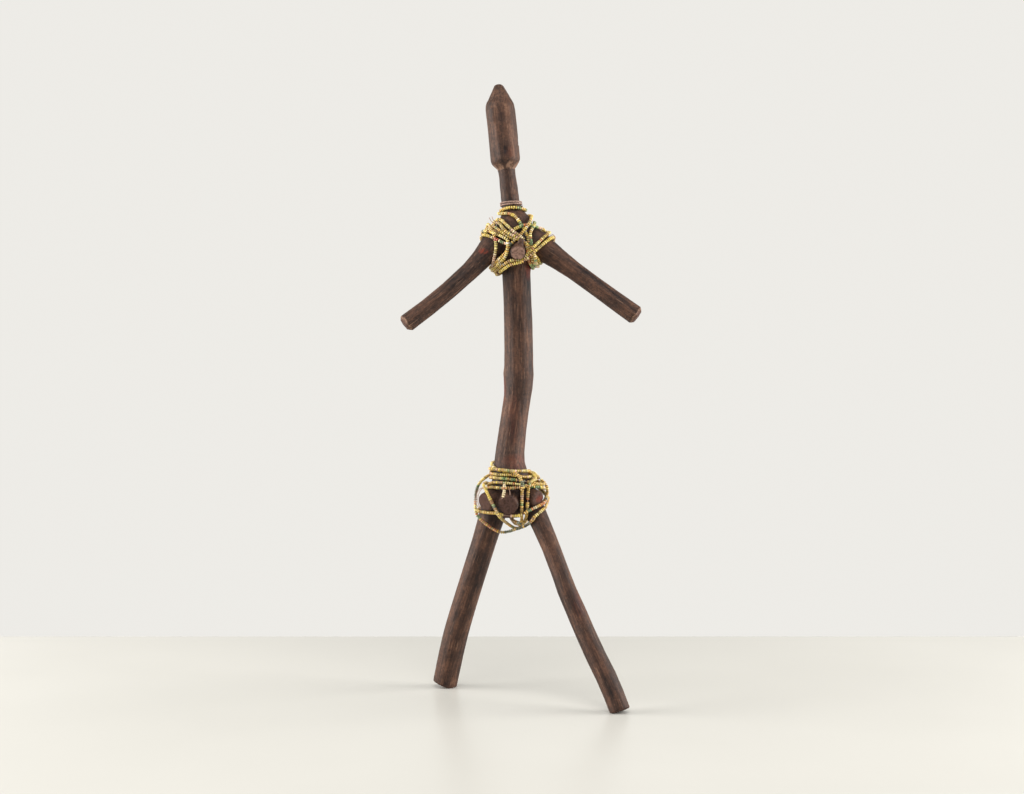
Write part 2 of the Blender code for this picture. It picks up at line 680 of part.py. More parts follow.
def main():
    clear_scene()
    root = bpy.data.objects.new("doll", None)
    bpy.context.scene.collection.objects.link(root)
    guides = bpy.data.collections.new("guides")
    bpy.context.scene.collection.children.link(guides)
    guides.hide_render = True
    figure = make_figure(root, guides)
    bpy.context.view_layer.update()
    wood = BVHTree.FromObject(figure, bpy.context.evaluated_depsgraph_get())
    make_thread(wood, root)
    make_string("chest_beads", CHEST_TURNS, wood, BEADS, root)
    make_string("hip_beads", HIP_TURNS, wood, BEADS, root)
    stand_at_origin(root)


main()
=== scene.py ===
import math
import random

import bmesh
import bpy
import numpy as np
from mathutils import Matrix, Vector, noise
from mathutils.bvhtree import BVHTree
from mathutils.kdtree import KDTree


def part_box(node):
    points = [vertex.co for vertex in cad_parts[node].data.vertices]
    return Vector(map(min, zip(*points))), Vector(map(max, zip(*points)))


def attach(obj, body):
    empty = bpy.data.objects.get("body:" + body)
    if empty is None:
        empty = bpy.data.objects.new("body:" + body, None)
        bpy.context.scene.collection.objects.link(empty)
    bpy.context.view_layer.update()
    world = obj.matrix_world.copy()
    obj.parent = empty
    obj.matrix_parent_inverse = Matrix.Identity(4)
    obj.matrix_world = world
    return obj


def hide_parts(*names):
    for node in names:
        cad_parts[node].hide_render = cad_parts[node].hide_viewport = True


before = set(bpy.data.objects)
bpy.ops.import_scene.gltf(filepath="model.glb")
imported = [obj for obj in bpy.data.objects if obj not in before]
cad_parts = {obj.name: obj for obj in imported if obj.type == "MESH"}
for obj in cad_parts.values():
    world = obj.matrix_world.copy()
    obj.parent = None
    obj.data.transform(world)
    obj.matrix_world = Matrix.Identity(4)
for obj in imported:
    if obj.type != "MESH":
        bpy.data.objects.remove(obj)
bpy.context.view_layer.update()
print("frame loaded:", ", ".join(sorted(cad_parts)))

# The branch and its strings are drawn in millimetres: x right, y away from the viewer, z up
drawnShift = Vector((-0.0070804, 0.0068965, 0.0))  # from there to the frame

leanBack = 0.012  # how far the doll leans back, as a share of the height


def at(place):
    x, y, z = place
    return Vector((x, y + z * leanBack, z)) * 0.001 + drawnShift


def linear(red, green, blue):  # a paint colour as read off a screen, 0 to 255
    return tuple(((value / 255) ** 2.2) for value in (red, green, blue)) + (1.0,)


# Camera

view = {
    "eye": (0.0, -1120.0, 239.2),  # level, on the middle of the doll's height
    "lens": 49.22,
    "sensor": 36.0,
}
cameraData = bpy.data.cameras.new("camera")
cameraData.lens = view["lens"]
cameraData.sensor_width = view["sensor"]
camera = bpy.data.objects.new("camera", cameraData)
camera.location = at(view["eye"])
camera.rotation_euler = (math.pi / 2, 0.0, 0.0)
bpy.context.scene.collection.objects.link(camera)
bpy.context.scene.camera = camera
bpy.context.scene.view_settings.view_transform = "Standard"
print("camera placed")


# Shader maths: a socket that takes + - * / and powers, and makes any other node


class Wire:
    def __init__(self, tree, socket=None):
        self.tree = tree
        self.socket = socket

    def node(self, kind, settings=None, inputs=None, output=0):
        item = self.tree.nodes.new(kind)
        for name, value in (settings or {}).items():
            if name == "stops":
                ramp = item.color_ramp
                ramp.elements[0].position, ramp.elements[0].color = value[0]
                ramp.elements[1].position, ramp.elements[1].color = value[-1]
                for position, colour in value[1:-1]:
                    ramp.elements.new(position).color = colour
            else:
                setattr(item, name, value)
        for name, value in (inputs or {}).items():
            if isinstance(value, Wire):
                self.tree.links.new(value.socket, item.inputs[name])
            else:
                item.inputs[name].default_value = value
        return Wire(self.tree, item.outputs[output])

    def maths(self, operation, first, second=0.0):
        return self.node("ShaderNodeMath", {"operation": operation}, {0: first, 1: second})

    def __add__(self, other):
        return self.maths("ADD", self, other)

    def __radd__(self, other):
        return self.maths("ADD", other, self)

    def __sub__(self, other):
        return self.maths("SUBTRACT", self, other)

    def __rsub__(self, other):
        return self.maths("SUBTRACT", other, self)

    def __mul__(self, other):
        return self.maths("MULTIPLY", self, other)

    def __rmul__(self, other):
        return self.maths("MULTIPLY", other, self)

    def __pow__(self, other):
        return self.maths("POWER", self, other)

    def stretch(self, low, high, start=0.0, end=1.0):  # a smooth step from start to end
        return self.node(
            "ShaderNodeMapRange",
            {"interpolation_type": "SMOOTHSTEP"},
            {"Value": self, "From Min": low, "From Max": high, "To Min": start, "To Max": end},
        )

    def grain(self, scale, detail=4.0, rough=0.55, warp=0.0):  # noise at this place
        return self.node(
            "ShaderNodeTexNoise",
            {},
            {"Vector": self, "Scale": scale, "Detail": detail, "Roughness": rough, "Distortion": warp},
        )

    def squeezed(self, x, y, z):  # a place with each of its axes scaled
        sizes = {"Vector": self, "Scale": (x, y, z)}
        return self.node("ShaderNodeMapping", {"vector_type": "POINT"}, sizes)

    def tint(self, first, second, kind="MIX"):  # this mask mixes two colours
        return self.node(
            "ShaderNodeMix", {"data_type": "RGBA", "blend_type": kind}, {0: self, 6: first, 7: second}, 2
        )


def newMaterial(name):
    material = bpy.data.materials.new(name)
    material.use_nodes = True
    shader = material.node_tree.nodes["Principled BSDF"]
    return material, shader, Wire(material.node_tree)


def feed(shader, wires):
    for name, wire in wires.items():
        wire.tree.links.new(wire.socket, shader.inputs[name])


def setConstants(shader, values):
    for name, value in values.items():
        shader.inputs[name].default_value = value


def attribute(wire, name, output):
    return wire.node("ShaderNodeAttribute", {"attribute_name": name}, {}, output)


def bump(wire, height, strength, distance, below=None):
    inputs = {"Height": height, "Strength": strength, "Distance": distance}
    if below:
        inputs["Normal"] = below
    return wire.node("ShaderNodeBump", {}, inputs)


def addPiece(name, mesh, material):
    piece = bpy.data.objects.new(name, mesh)
    bpy.context.scene.collection.objects.link(piece)
    mesh.materials.clear()
    mesh.materials.append(material)
    return piece


def evaluated(item):  # the item's mesh with its modifiers applied
    bpy.context.view_layer.update()
    return bpy.data.meshes.new_from_object(item.evaluated_get(bpy.context.evaluated_depsgraph_get()))


def setColumn(mesh, name, kind, values):  # one value for each point of a mesh
    column = mesh.attributes.new(name, kind, "POINT")
    field = {"FLOAT": "value", "FLOAT_VECTOR": "vector", "FLOAT_COLOR": "color"}[kind]
    column.data.foreach_set(field, np.asarray(values, np.float32).ravel())


def coordinates(mesh):
    values = np.zeros(len(mesh.vertices) * 3, np.float32)
    mesh.vertices.foreach_get("co", values)
    return values.reshape(-1, 3).astype(float)


def pointNormals(mesh):
    values = np.zeros(len(mesh.vertices) * 3, np.float32)
    mesh.vertex_normals.foreach_get("vector", values)
    return values.reshape(-1, 3).astype(float)


def smoothStep(values, low, high):
    share = np.clip((values - low) / (high - low), 0.0, 1.0)
    return share * share * (3 - 2 * share)


def curveThrough(points, share):  # the point at a share of the way along a smooth curve
    place = min(max(share, 0.0), 1.0) * (len(points) - 1)
    index = min(int(place), len(points) - 2)
    t = place - index
    start, end = points[index], points[index + 1]
    before = points[index - 1] if index else start * 2 - end
    after = points[index + 2] if index + 2 < len(points) else end * 2 - start
    return 0.5 * (
        2 * start
        + (end - before) * t
        + (2 * before - 5 * start + 4 * end - after) * t**2
        + (3 * start - before - 3 * end + after) * t**3
    )


def evenly(points, spacing=None, count=None):
    line = np.array([tuple(point) for point in points])
    along = np.concatenate(([0.0], np.cumsum(np.linalg.norm(np.diff(line, axis=0), axis=1))))
    count = count or max(2, round(along[-1] / spacing) + 1)
    places = np.linspace(0.0, along[-1], count)
    return np.stack([np.interp(places, along, line[:, axis]) for axis in range(line.shape[1])], axis=1)


def smoothLine(route, spacing):
    steps = 12 * (len(route) - 1)
    return evenly([curveThrough(route, step / steps) for step in range(steps + 1)], spacing)


# Carved wood

wood = {
    "voxel": 0.00092,
    "rounding": 3,  # rounds of smoothing that take the flat sides off the plain solid
    "wave": 0.00042,  # height of the long hollows and swells along a limb
    "waveWidth": 0.007,
    "waveLength": 0.045,
    "ridge": 0.00013,  # height of the ridges of the grain
    "ridgeWidth": 0.0016,
    "ridgeLength": 0.022,
    "endGrain": 0.00018,
    "seed": 4.7,
}

# Middle lines of the stem, the limbs and the stubs, with their radius
limbs = (
    ((-10.9, 0, 489.6, 4), (-9.7, 0, 472, 11.9), (-7.4, 0, 450, 11.9), (-5.2, 0, 428, 11.8),
     (-3.8, 0, 417, 6.8), (-0.6, 0, 392.8, 7.5), (3, 0, 370, 15), (3.4, 1, 337.6, 11.3),
     (4.9, 3, 304, 11.4), (5.5, 4.5, 262, 11.9), (4.6, 4.5, 241.6, 11), (1.2, 3.5, 217.6, 11),
     (-2, 1, 190, 12.2), (-0.8, 0, 170, 16), (0.5, 0, 143, 8)),
    ((2, 0, 372, 9.5), (-10, -2, 364.5, 11.8), (-19, -4.5, 355.5, 9.5), (-30.9, -7, 341.8, 7.4),
     (-57.1, -13, 317.6, 7.1), (-84.6, -19, 295.8, 7.3)),
    ((4, 0, 371, 9.5), (18, -2.5, 362.5, 11.3), (30, -5, 354.2, 9.3), (46.4, -8, 341.9, 7.4),
     (71.7, -13, 322.6, 7.3), (98.8, -18.5, 302.4, 7.4)),
    ((-3, 1, 176, 9), (-12, 4.5, 156, 11), (-21.1, 11, 126.9, 9.9), (-30.5, 18, 96.9, 9.9),
     (-39.7, 25, 66.6, 10), (-48.3, 32, 35.9, 10), (-55.2, 39.2, 3.9, 10.1)),
    ((3, -1.5, 176, 7.8), (12.5, -6.5, 160, 9), (27.1, -15.6, 129.7, 7.3), (37.7, -24, 102.4, 7.2),
     (48.6, -32.5, 75.4, 7.6), (60.4, -40.9, 48.9, 7.8), (73.2, -49.4, 22.9, 8), (80.6, -55.2, 4.4, 8)),
    ((4.2, 0, 363.5, 6.4), (4.8, -22.5, 352, 5.9)),
    ((6.2, -18.6, 356, 2.6), (6.9, -22, 363.6, 2.4)),
    ((2.5, 0, 363, 6.6), (0.5, 21, 355.5, 6.2)),
    ((-3, 0, 164, 8), (-21.8, -17.5, 156, 7.6)),
    ((-1, 0, 162, 8.4), (-3.2, -25, 154.5, 8)),
    ((3, 0, 166, 7), (20.6, -17, 158.6, 6.7)),
    ((-2, 0, 164, 7.8), (-14, 20.5, 157, 7.4)),
    ((2, 0, 164, 7.4), (16, 18, 158.5, 7)),
)

# Knife cuts round a limb: middle, the way along it, distance of the flats, lean, number, turn, stretch,
# and how pale the cut wood is
whittling = (
    ((-10.4, 0, 484), (-0.07, 0, 1), 5.75, 26.5, 9, 12, (-7.5, 4.5), 0.15),
    ((-9.6, 0, 473), (-0.07, 0, 1), 11.3, 8.0, 9, 34, (-3.5, 5), 0.1),
    ((-9.0, 0, 466), (-0.1, 0, 1), 11.7, 0.0, 9, 8, (-9, 9), 0.05),
    ((-7.4, 0, 450), (-0.1, 0, 1), 11.65, 0.0, 9, 24, (-11, 10), 0.05),
    ((-6.0, 0, 436), (-0.1, 0, 1), 11.65, 0.0, 8, 10, (-7, 9), 0.05),
    ((-5.0, 0, 424.6), (-0.1, 0, 1), 9.0, -40.0, 7, 39, (-3.6, 3.4), 1.0),
    ((-3.0, 0, 410), (-0.12, 0, 1), 6.85, 0.0, 8, 30, (-9, 9), 0.05),
    ((-1.8, 0, 399), (-0.12, 0, 1), 7.1, 0.0, 8, 36, (-7, 7), 0.05),
    ((-84.6, -19, 295.8), (-0.772, -0.169, -0.612), 4.5, 44.0, 6, 10, (-8, 8), 1.0),
    ((98.8, -18.5, 302.4), (0.793, -0.161, -0.588), 5.0, 46.0, 6, 40, (-8, 8), 1.0),
)


def limbFrames(route):  # even samples of a limb's middle line, each with its directions and radius
    points = [Vector((*at(place[:3]), place[3] * 0.001)) for place in route]
    line = smoothLine(points, 0.0015)
    centres, radii = line[:, :3], line[:, 3]
    ways = np.gradient(centres, axis=0)
    ways /= np.linalg.norm(ways, axis=1)[:, None]
    side = Vector(ways[0]).orthogonal().normalized()
    sides = []
    for way in ways:
        side = (side - Vector(way) * side.dot(Vector(way))).normalized()
        sides.append(tuple(side))
    along = np.concatenate(([0.0], np.cumsum(np.linalg.norm(np.diff(centres, axis=0), axis=1))))
    return {"centres": centres, "ways": ways, "sides": np.array(sides), "along": along, "radii": radii}


def layAlongLimbs(points):  # each point's place on its limb as if the limb were straight
    best = np.full(len(points), 1e9)
    places = np.zeros((len(points), 3))
    ways = np.zeros((len(points), 3))
    beyond = np.full(len(points), -1.0)  # distance past the cut end of its limb
    for number, route in enumerate(limbs):
        sampled = limbFrames(route)
        tree = KDTree(len(sampled["centres"]))
        for index, centre in enumerate(sampled["centres"]):
            tree.insert(centre, index)
        tree.balance()
        nearest = np.array([tree.find(point)[1] for point in points])
        off = points - sampled["centres"][nearest]
        score = np.linalg.norm(off, axis=1) / sampled["radii"][nearest]
        closer = score < best
        best[closer] = score[closer]
        way = sampled["ways"][nearest]
        side = sampled["sides"][nearest]
        lift = np.cross(way, side)
        local = np.stack(
            [(off * side).sum(1), (off * lift).sum(1), sampled["along"][nearest] + (off * way).sum(1)], axis=1
        )
        past = local[:, 2] - sampled["along"][-1]
        local[:, 2] += 0.9 * number
        places[closer] = local[closer]
        ways[closer] = way[closer]
        beyond[closer] = past[closer]
    return places, ways, beyond


def roundedFigure():
    shape = bmesh.new()
    shape.from_mesh(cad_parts["wooden_figure"].data)
    bmesh.ops.remove_doubles(shape, verts=shape.verts, dist=1e-5)
    bmesh.ops.recalc_face_normals(shape, faces=shape.faces)
    plain = bpy.data.meshes.new("plainFigure")
    shape.to_mesh(plain)
    shape.free()
    item = bpy.data.objects.new("plainFigure", plain)
    bpy.context.scene.collection.objects.link(item)
    remesh = item.modifiers.new("remesh", "REMESH")
    remesh.mode = "VOXEL"
    remesh.voxel_size = wood["voxel"]
    remesh.use_smooth_shade = True
    soften = item.modifiers.new("soften", "SMOOTH")
    soften.factor = 0.5
    soften.iterations = wood["rounding"]
    mesh = evaluated(item)
    bpy.data.objects.remove(item)
    return mesh


def whittle(points):
    shaved = np.zeros(len(points))
    for middle, way, flat, lean, count, turn, (low, high), pale in whittling:
        centre, way = at(middle), Vector(way).normalized()
        side = way.orthogonal().normalized()
        lean = math.radians(lean)
        off = points - np.array(centre)
        along = off @ np.array(way)
        near = (along > low * 0.001) & (along < high * 0.001) & (np.linalg.norm(off, axis=1) < 0.018)
        for number in range(count):
            angle = math.radians(turn) + 2 * math.pi * number / count
            uneven = 0.03 * noise.noise(Vector((number * 1.7, middle[2], wood["seed"])))
            outward = Matrix.Rotation(angle, 3, way) @ side
            facing = outward * math.cos(lean + 2 * uneven) + way * math.sin(lean + 2 * uneven)
            flatPoint = centre + outward * flat * 0.001 * (1 + uneven)
            height = (points - np.array(flatPoint)) @ np.array(facing)
            cut = near & (height > 0)
            points -= np.where(cut, height, 0.0)[:, None] * np.array(facing)
            shaved = np.maximum(shaved, np.where(cut, smoothStep(height, 0.00003, 0.0004) * pale, 0.0))
    return shaved


def noiseAt(places, width, length, seed):
    scale = np.array([1 / width, 1 / width, 1 / length])
    return np.array([noise.noise(Vector(place)) for place in places * scale + seed])


def nearLine(points, normals, route):  # distance from a line drawn on the front, seen from there
    flat = points[:, (0, 2)] - np.array((drawnShift.x, drawnShift.z))
    line = evenly([(x * 0.001, z * 0.001) for x, z in route], 0.0004)
    tree = KDTree(len(line))
    for index, (x, z) in enumerate(line):
        tree.insert((x, 0.0, z), index)
    tree.balance()
    far = np.full(len(points), 1.0)
    low, high = line.min(0) - 0.004, line.max(0) + 0.004
    close = ((flat > low) & (flat < high)).all(1) & (normals[:, 1] < 0.1)
    for index in np.nonzero(close)[0]:
        far[index] = tree.find((flat[index, 0], 0.0, flat[index, 1]))[2]
    return far


# Splits and furrows on the front: depth and half width in mm, then the places that they pass
furrows = (
    (0.75, 0.75, ((52.1, 342.2), (61.6, 335.9), (71.9, 328), (81.4, 319.3), (90, 312.2), (97.2, 305.8))),
    (0.25, 0.9, ((24, 139.2), (27.9, 125.8), (37.4, 109.5), (41, 99), (45.8, 82.8), (50.5, 71.2))),
    (0.22, 0.8, ((64, 38.5), (70, 25), (77, 9))),
    (0.22, 0.5, ((7.3, 236), (7.9, 222), (9.0, 206))),
    (0.30, 0.7, ((-3.0, 409), (-2.4, 400), (-1.8, 396))),
    (0.25, 0.5, ((-5.5, 438), (-4.9, 431))),
    (0.22, 0.6, ((-36, 334), (-50, 321), (-62, 312))),
    (0.20, 0.7, ((-19, 120), (-30, 88), (-42, 50))),
)

# Small swellings: middle, radius and height in mm
knots = (
    ((-7.2, 0, 258.5), 4.2, 0.9),
    ((4.7, -11, 187.8), 1.8, 0.5),
    ((54.3, -42, 61), 1.9, 0.5),
    ((-8.5, -11, 461), 2.6, -0.5),
    ((-5.0, -12, 435.5), 1.2, -0.7),
    ((8, 16, 300), 3.0, 0.6),
    ((-62, -6, 318), 2.4, 0.4),
    ((5.6, -22.6, 351.4), 1.0, -0.9),
    ((3.4, -22.6, 353.6), 0.8, -0.7),
    ((4.6, -22.6, 349.2), 0.8, -0.6),
)


def carve(mesh):
    points = coordinates(mesh)
    normals = pointNormals(mesh)
    places, ways, beyond = layAlongLimbs(points)
    seed = wood["seed"]
    wave = noiseAt(places, wood["waveWidth"], wood["waveLength"], seed)
    ridge = 1 - 2 * np.abs(noiseAt(places, wood["ridgeWidth"], wood["ridgeLength"], seed + 3))
    facing = np.abs((normals * ways).sum(1))
    cutEnd = smoothStep(facing, 0.55, 0.85) * (beyond > -0.0055)
    grit = noiseAt(points, 0.0011, 0.0011, seed + 5)
    height = (wave * wood["wave"] + ridge * wood["ridge"]) * (1 - cutEnd) + grit * wood["endGrain"] * cutEnd
    dents = np.zeros(len(points))
    for depth, width, route in furrows:
        mark = np.exp(-((nearLine(points, normals, route) / (width * 0.001)) ** 2))
        height -= depth * 0.001 * mark
        dents = np.maximum(dents, mark * min(1.0, depth * 1.6))
    swells = np.zeros(len(points))
    for middle, radius, rise in knots:
        mark = np.exp(-((np.linalg.norm(points - np.array(at(middle)), axis=1) / (radius * 0.001)) ** 2))
        height += rise * 0.001 * mark
        swells = np.maximum(swells, mark * (1.0 if rise > 0 else 0.0))
    points += normals * height[:, None]
    shaved = whittle(points)
    low = np.array(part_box("wooden_figure")[0])
    high = np.array(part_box("wooden_figure")[1])
    points = np.clip(points, low, high)
    mesh.vertices.foreach_set("co", points.astype(np.float32).ravel())
    mesh.update()
    setColumn(mesh, "grainPlace", "FLOAT_VECTOR", places)
    setColumn(mesh, "cutEnd", "FLOAT", cutEnd)
    setColumn(mesh, "shaved", "FLOAT", shaved)
    setColumn(mesh, "dents", "FLOAT", dents)
    setColumn(mesh, "swells", "FLOAT", swells)


# Stains and painted shade: middle and radii in mm, then how much. Red is ochre rubbed in; dark is painted shade
# under and between the strings together with dirt there, and it also darkens two hollows on the head; the pale cut is
# the fresher end of the stub on the chest
stainsAndShade = {
    "red": (
        ((-22.3, -10, 354.5), (4.5, 6, 2.6), 1.0),
        ((13.5, -6, 340), (3.5, 8, 8), 0.55),
        ((-7.5, 0, 246), (2.6, 9, 12), 0.6),
        ((4, -10, 188), (12, 12, 6), 0.2),
        ((1, -10, 225), (6, 6, 26), 0.12),
        ((52, -36, 78), (6, 8, 16), 0.15),
        ((21.5, -16, 159), (3.5, 5, 3), 0.6),
        ((-1.5, -8, 434), (5, 8, 5), 0.12),
        ((0.5, 12, 300), (5, 8, 26), 0.3),
    ),
    # painted shade under and between the strings, with dirt there too; the last two darken hollows on the head
    "dark": (
        ((3.5, 0, 366), (24, 20, 17), 1.0),
        ((22, -2, 362), (12, 14, 9), 0.8),
        ((-15, -2, 364), (10, 14, 10), 0.8),
        ((0, 0, 164), (27, 22, 19), 1.0),
        ((-8, 0, 150), (18, 20, 12), 0.8),
        ((10, -6, 148), (14, 18, 12), 0.8),
        ((-8.5, -12, 461), (4, 5, 5), 0.6),
        ((-5.0, -12, 435.5), (2.2, 4, 4), 0.8),
    ),
    "paleCut": (((4.8, -22, 352), (9, 6, 9), 1.0),),
}


def stain(mesh, name):
    points = coordinates(mesh)
    amount = np.zeros(len(points))
    for middle, radii, strength in stainsAndShade[name]:
        off = (points - np.array(at(middle))) / (np.array(radii) * 0.001)
        amount = np.maximum(amount, strength * (1 - smoothStep(np.linalg.norm(off, axis=1), 0.55, 1.25)))
    setColumn(mesh, name, "FLOAT", amount)


woodLook = {
    "deep": linear(30, 22, 21),
    "body": linear(64, 46, 38),
    "warm": linear(94, 66, 52),
    "light": linear(140, 108, 88),
    "red": linear(128, 52, 34),
    "shade": linear(22, 16, 20),
    "end": linear(84, 62, 56),
    "cut": linear(150, 118, 104),
}


def woodMaterial():
    material, shader, wire = newMaterial("darkWood")
    look = woodLook
    place = wire.node("ShaderNodeTexCoord", {}, {}, "Object")
    grainPlace = attribute(wire, "grainPlace", "Vector")
    cutEnd = attribute(wire, "cutEnd", "Fac")
    shaved = attribute(wire, "shaved", "Fac")
    dents = attribute(wire, "dents", "Fac")
    swells = attribute(wire, "swells", "Fac")
    red = attribute(wire, "red", "Fac")
    dark = attribute(wire, "dark", "Fac")
    paleCut = attribute(wire, "paleCut", "Fac") * cutEnd
    bands = grainPlace.squeezed(1, 1, 0.06).grain(230, 3.0, 0.5)
    streaks = grainPlace.squeezed(1, 1, 0.075).grain(1100, 5.0, 0.65)
    fibres = grainPlace.squeezed(1, 1, 0.09).grain(2900, 3.0, 0.65)
    clouds = place.grain(48, 5.0, 0.6)
    mottle = place.grain(520, 5.0, 0.65)
    tone = bands * 0.26 + streaks * 0.30 + clouds * 0.34 + mottle * 0.24 + fibres * 0.10
    colour = tone.node(
        "ShaderNodeValToRGB",
        {"stops": [(0.50, look["deep"]), (0.61, look["body"]), (0.70, look["warm"]), (0.84, look["light"])]},
        {"Fac": tone},
    )
    scratches = 1 - grainPlace.squeezed(1, 1, 0.035).grain(1500, 2.0, 0.5).stretch(0.30, 0.37)
    colour = (scratches * 0.5).tint(colour, look["light"])
    pits = 1 - place.grain(820, 2.0, 0.5).stretch(0.30, 0.38)
    colour = (pits * 0.6).tint(colour, look["shade"])
    worn = (shaved * 0.85 + swells * 0.5) * mottle.stretch(0.30, 0.62)
    colour = worn.tint(colour, look["light"])
    endTone = cutEnd * mottle.stretch(0.36, 0.60, 0.10, 0.95)
    colour = endTone.tint(colour, look["end"])
    colour = (paleCut * mottle.stretch(0.36, 0.58, 0.15, 0.95)).tint(colour, look["cut"])
    colour = (red * streaks.stretch(0.35, 0.6)).tint(colour, look["red"])
    # painted shade: darker wood under and between the strings, with dirt there too, kept off the cut ends
    colour = (dark * (1 - cutEnd) * 0.85).tint(colour, look["shade"])
    colour = (dents * 0.75).tint(colour, look["shade"])
    rough = fibres * 0.25 + clouds * 0.2 + cutEnd * 0.2 + 0.36
    ridges = bump(wire, streaks, 0.45, 0.0006)
    fine = bump(wire, fibres + mottle * 0.8 - pits * 0.5, 0.4, 0.0003, ridges)
    feed(shader, {"Base Color": colour, "Roughness": rough, "Normal": fine})
    setConstants(shader, {"Specular IOR Level": 0.24})
    return material


figureMesh = roundedFigure()
carve(figureMesh)
for name in stainsAndShade:
    stain(figureMesh, name)
carvedWood = addPiece("carvedWood", figureMesh, woodMaterial())
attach(carvedWood, "root")
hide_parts("wooden_figure")
print("wood carved:", len(figureMesh.polygons), "faces")


# Strings of beads

beads = {
    "radius": 0.00130,
    "length": 0.00142,
    "pitch": 0.00164,
    "hole": 0.00036,
    "sides": 9,
    "unevenSize": 0.09,
    "unevenPitch": 0.10,
    "tilt": 0.13,
    "gapShare": 0.02,  # share of the beads that are missing, so that the cotton shows
    "rimShade": 0.72,  # how much darker a bead is at its two ends
    "seed": 11,
}

cotton = {"radius": 0.00030, "sides": 6, "twist": 0.0011}

# How a string is drawn tight: spacing, rounds and lift in bead radii, then what a point moves in a round
tightening = ((3.2, 30, 2.3), (2.0, 50, 0.86), (1.15, 90, 0.0))
easing, hold, push, climb, gap = 0.5, 0.45, 0.5, 0.9, 0.0003
lookAlong = 36  # quarter steps of its planned route through which a point looks for its place

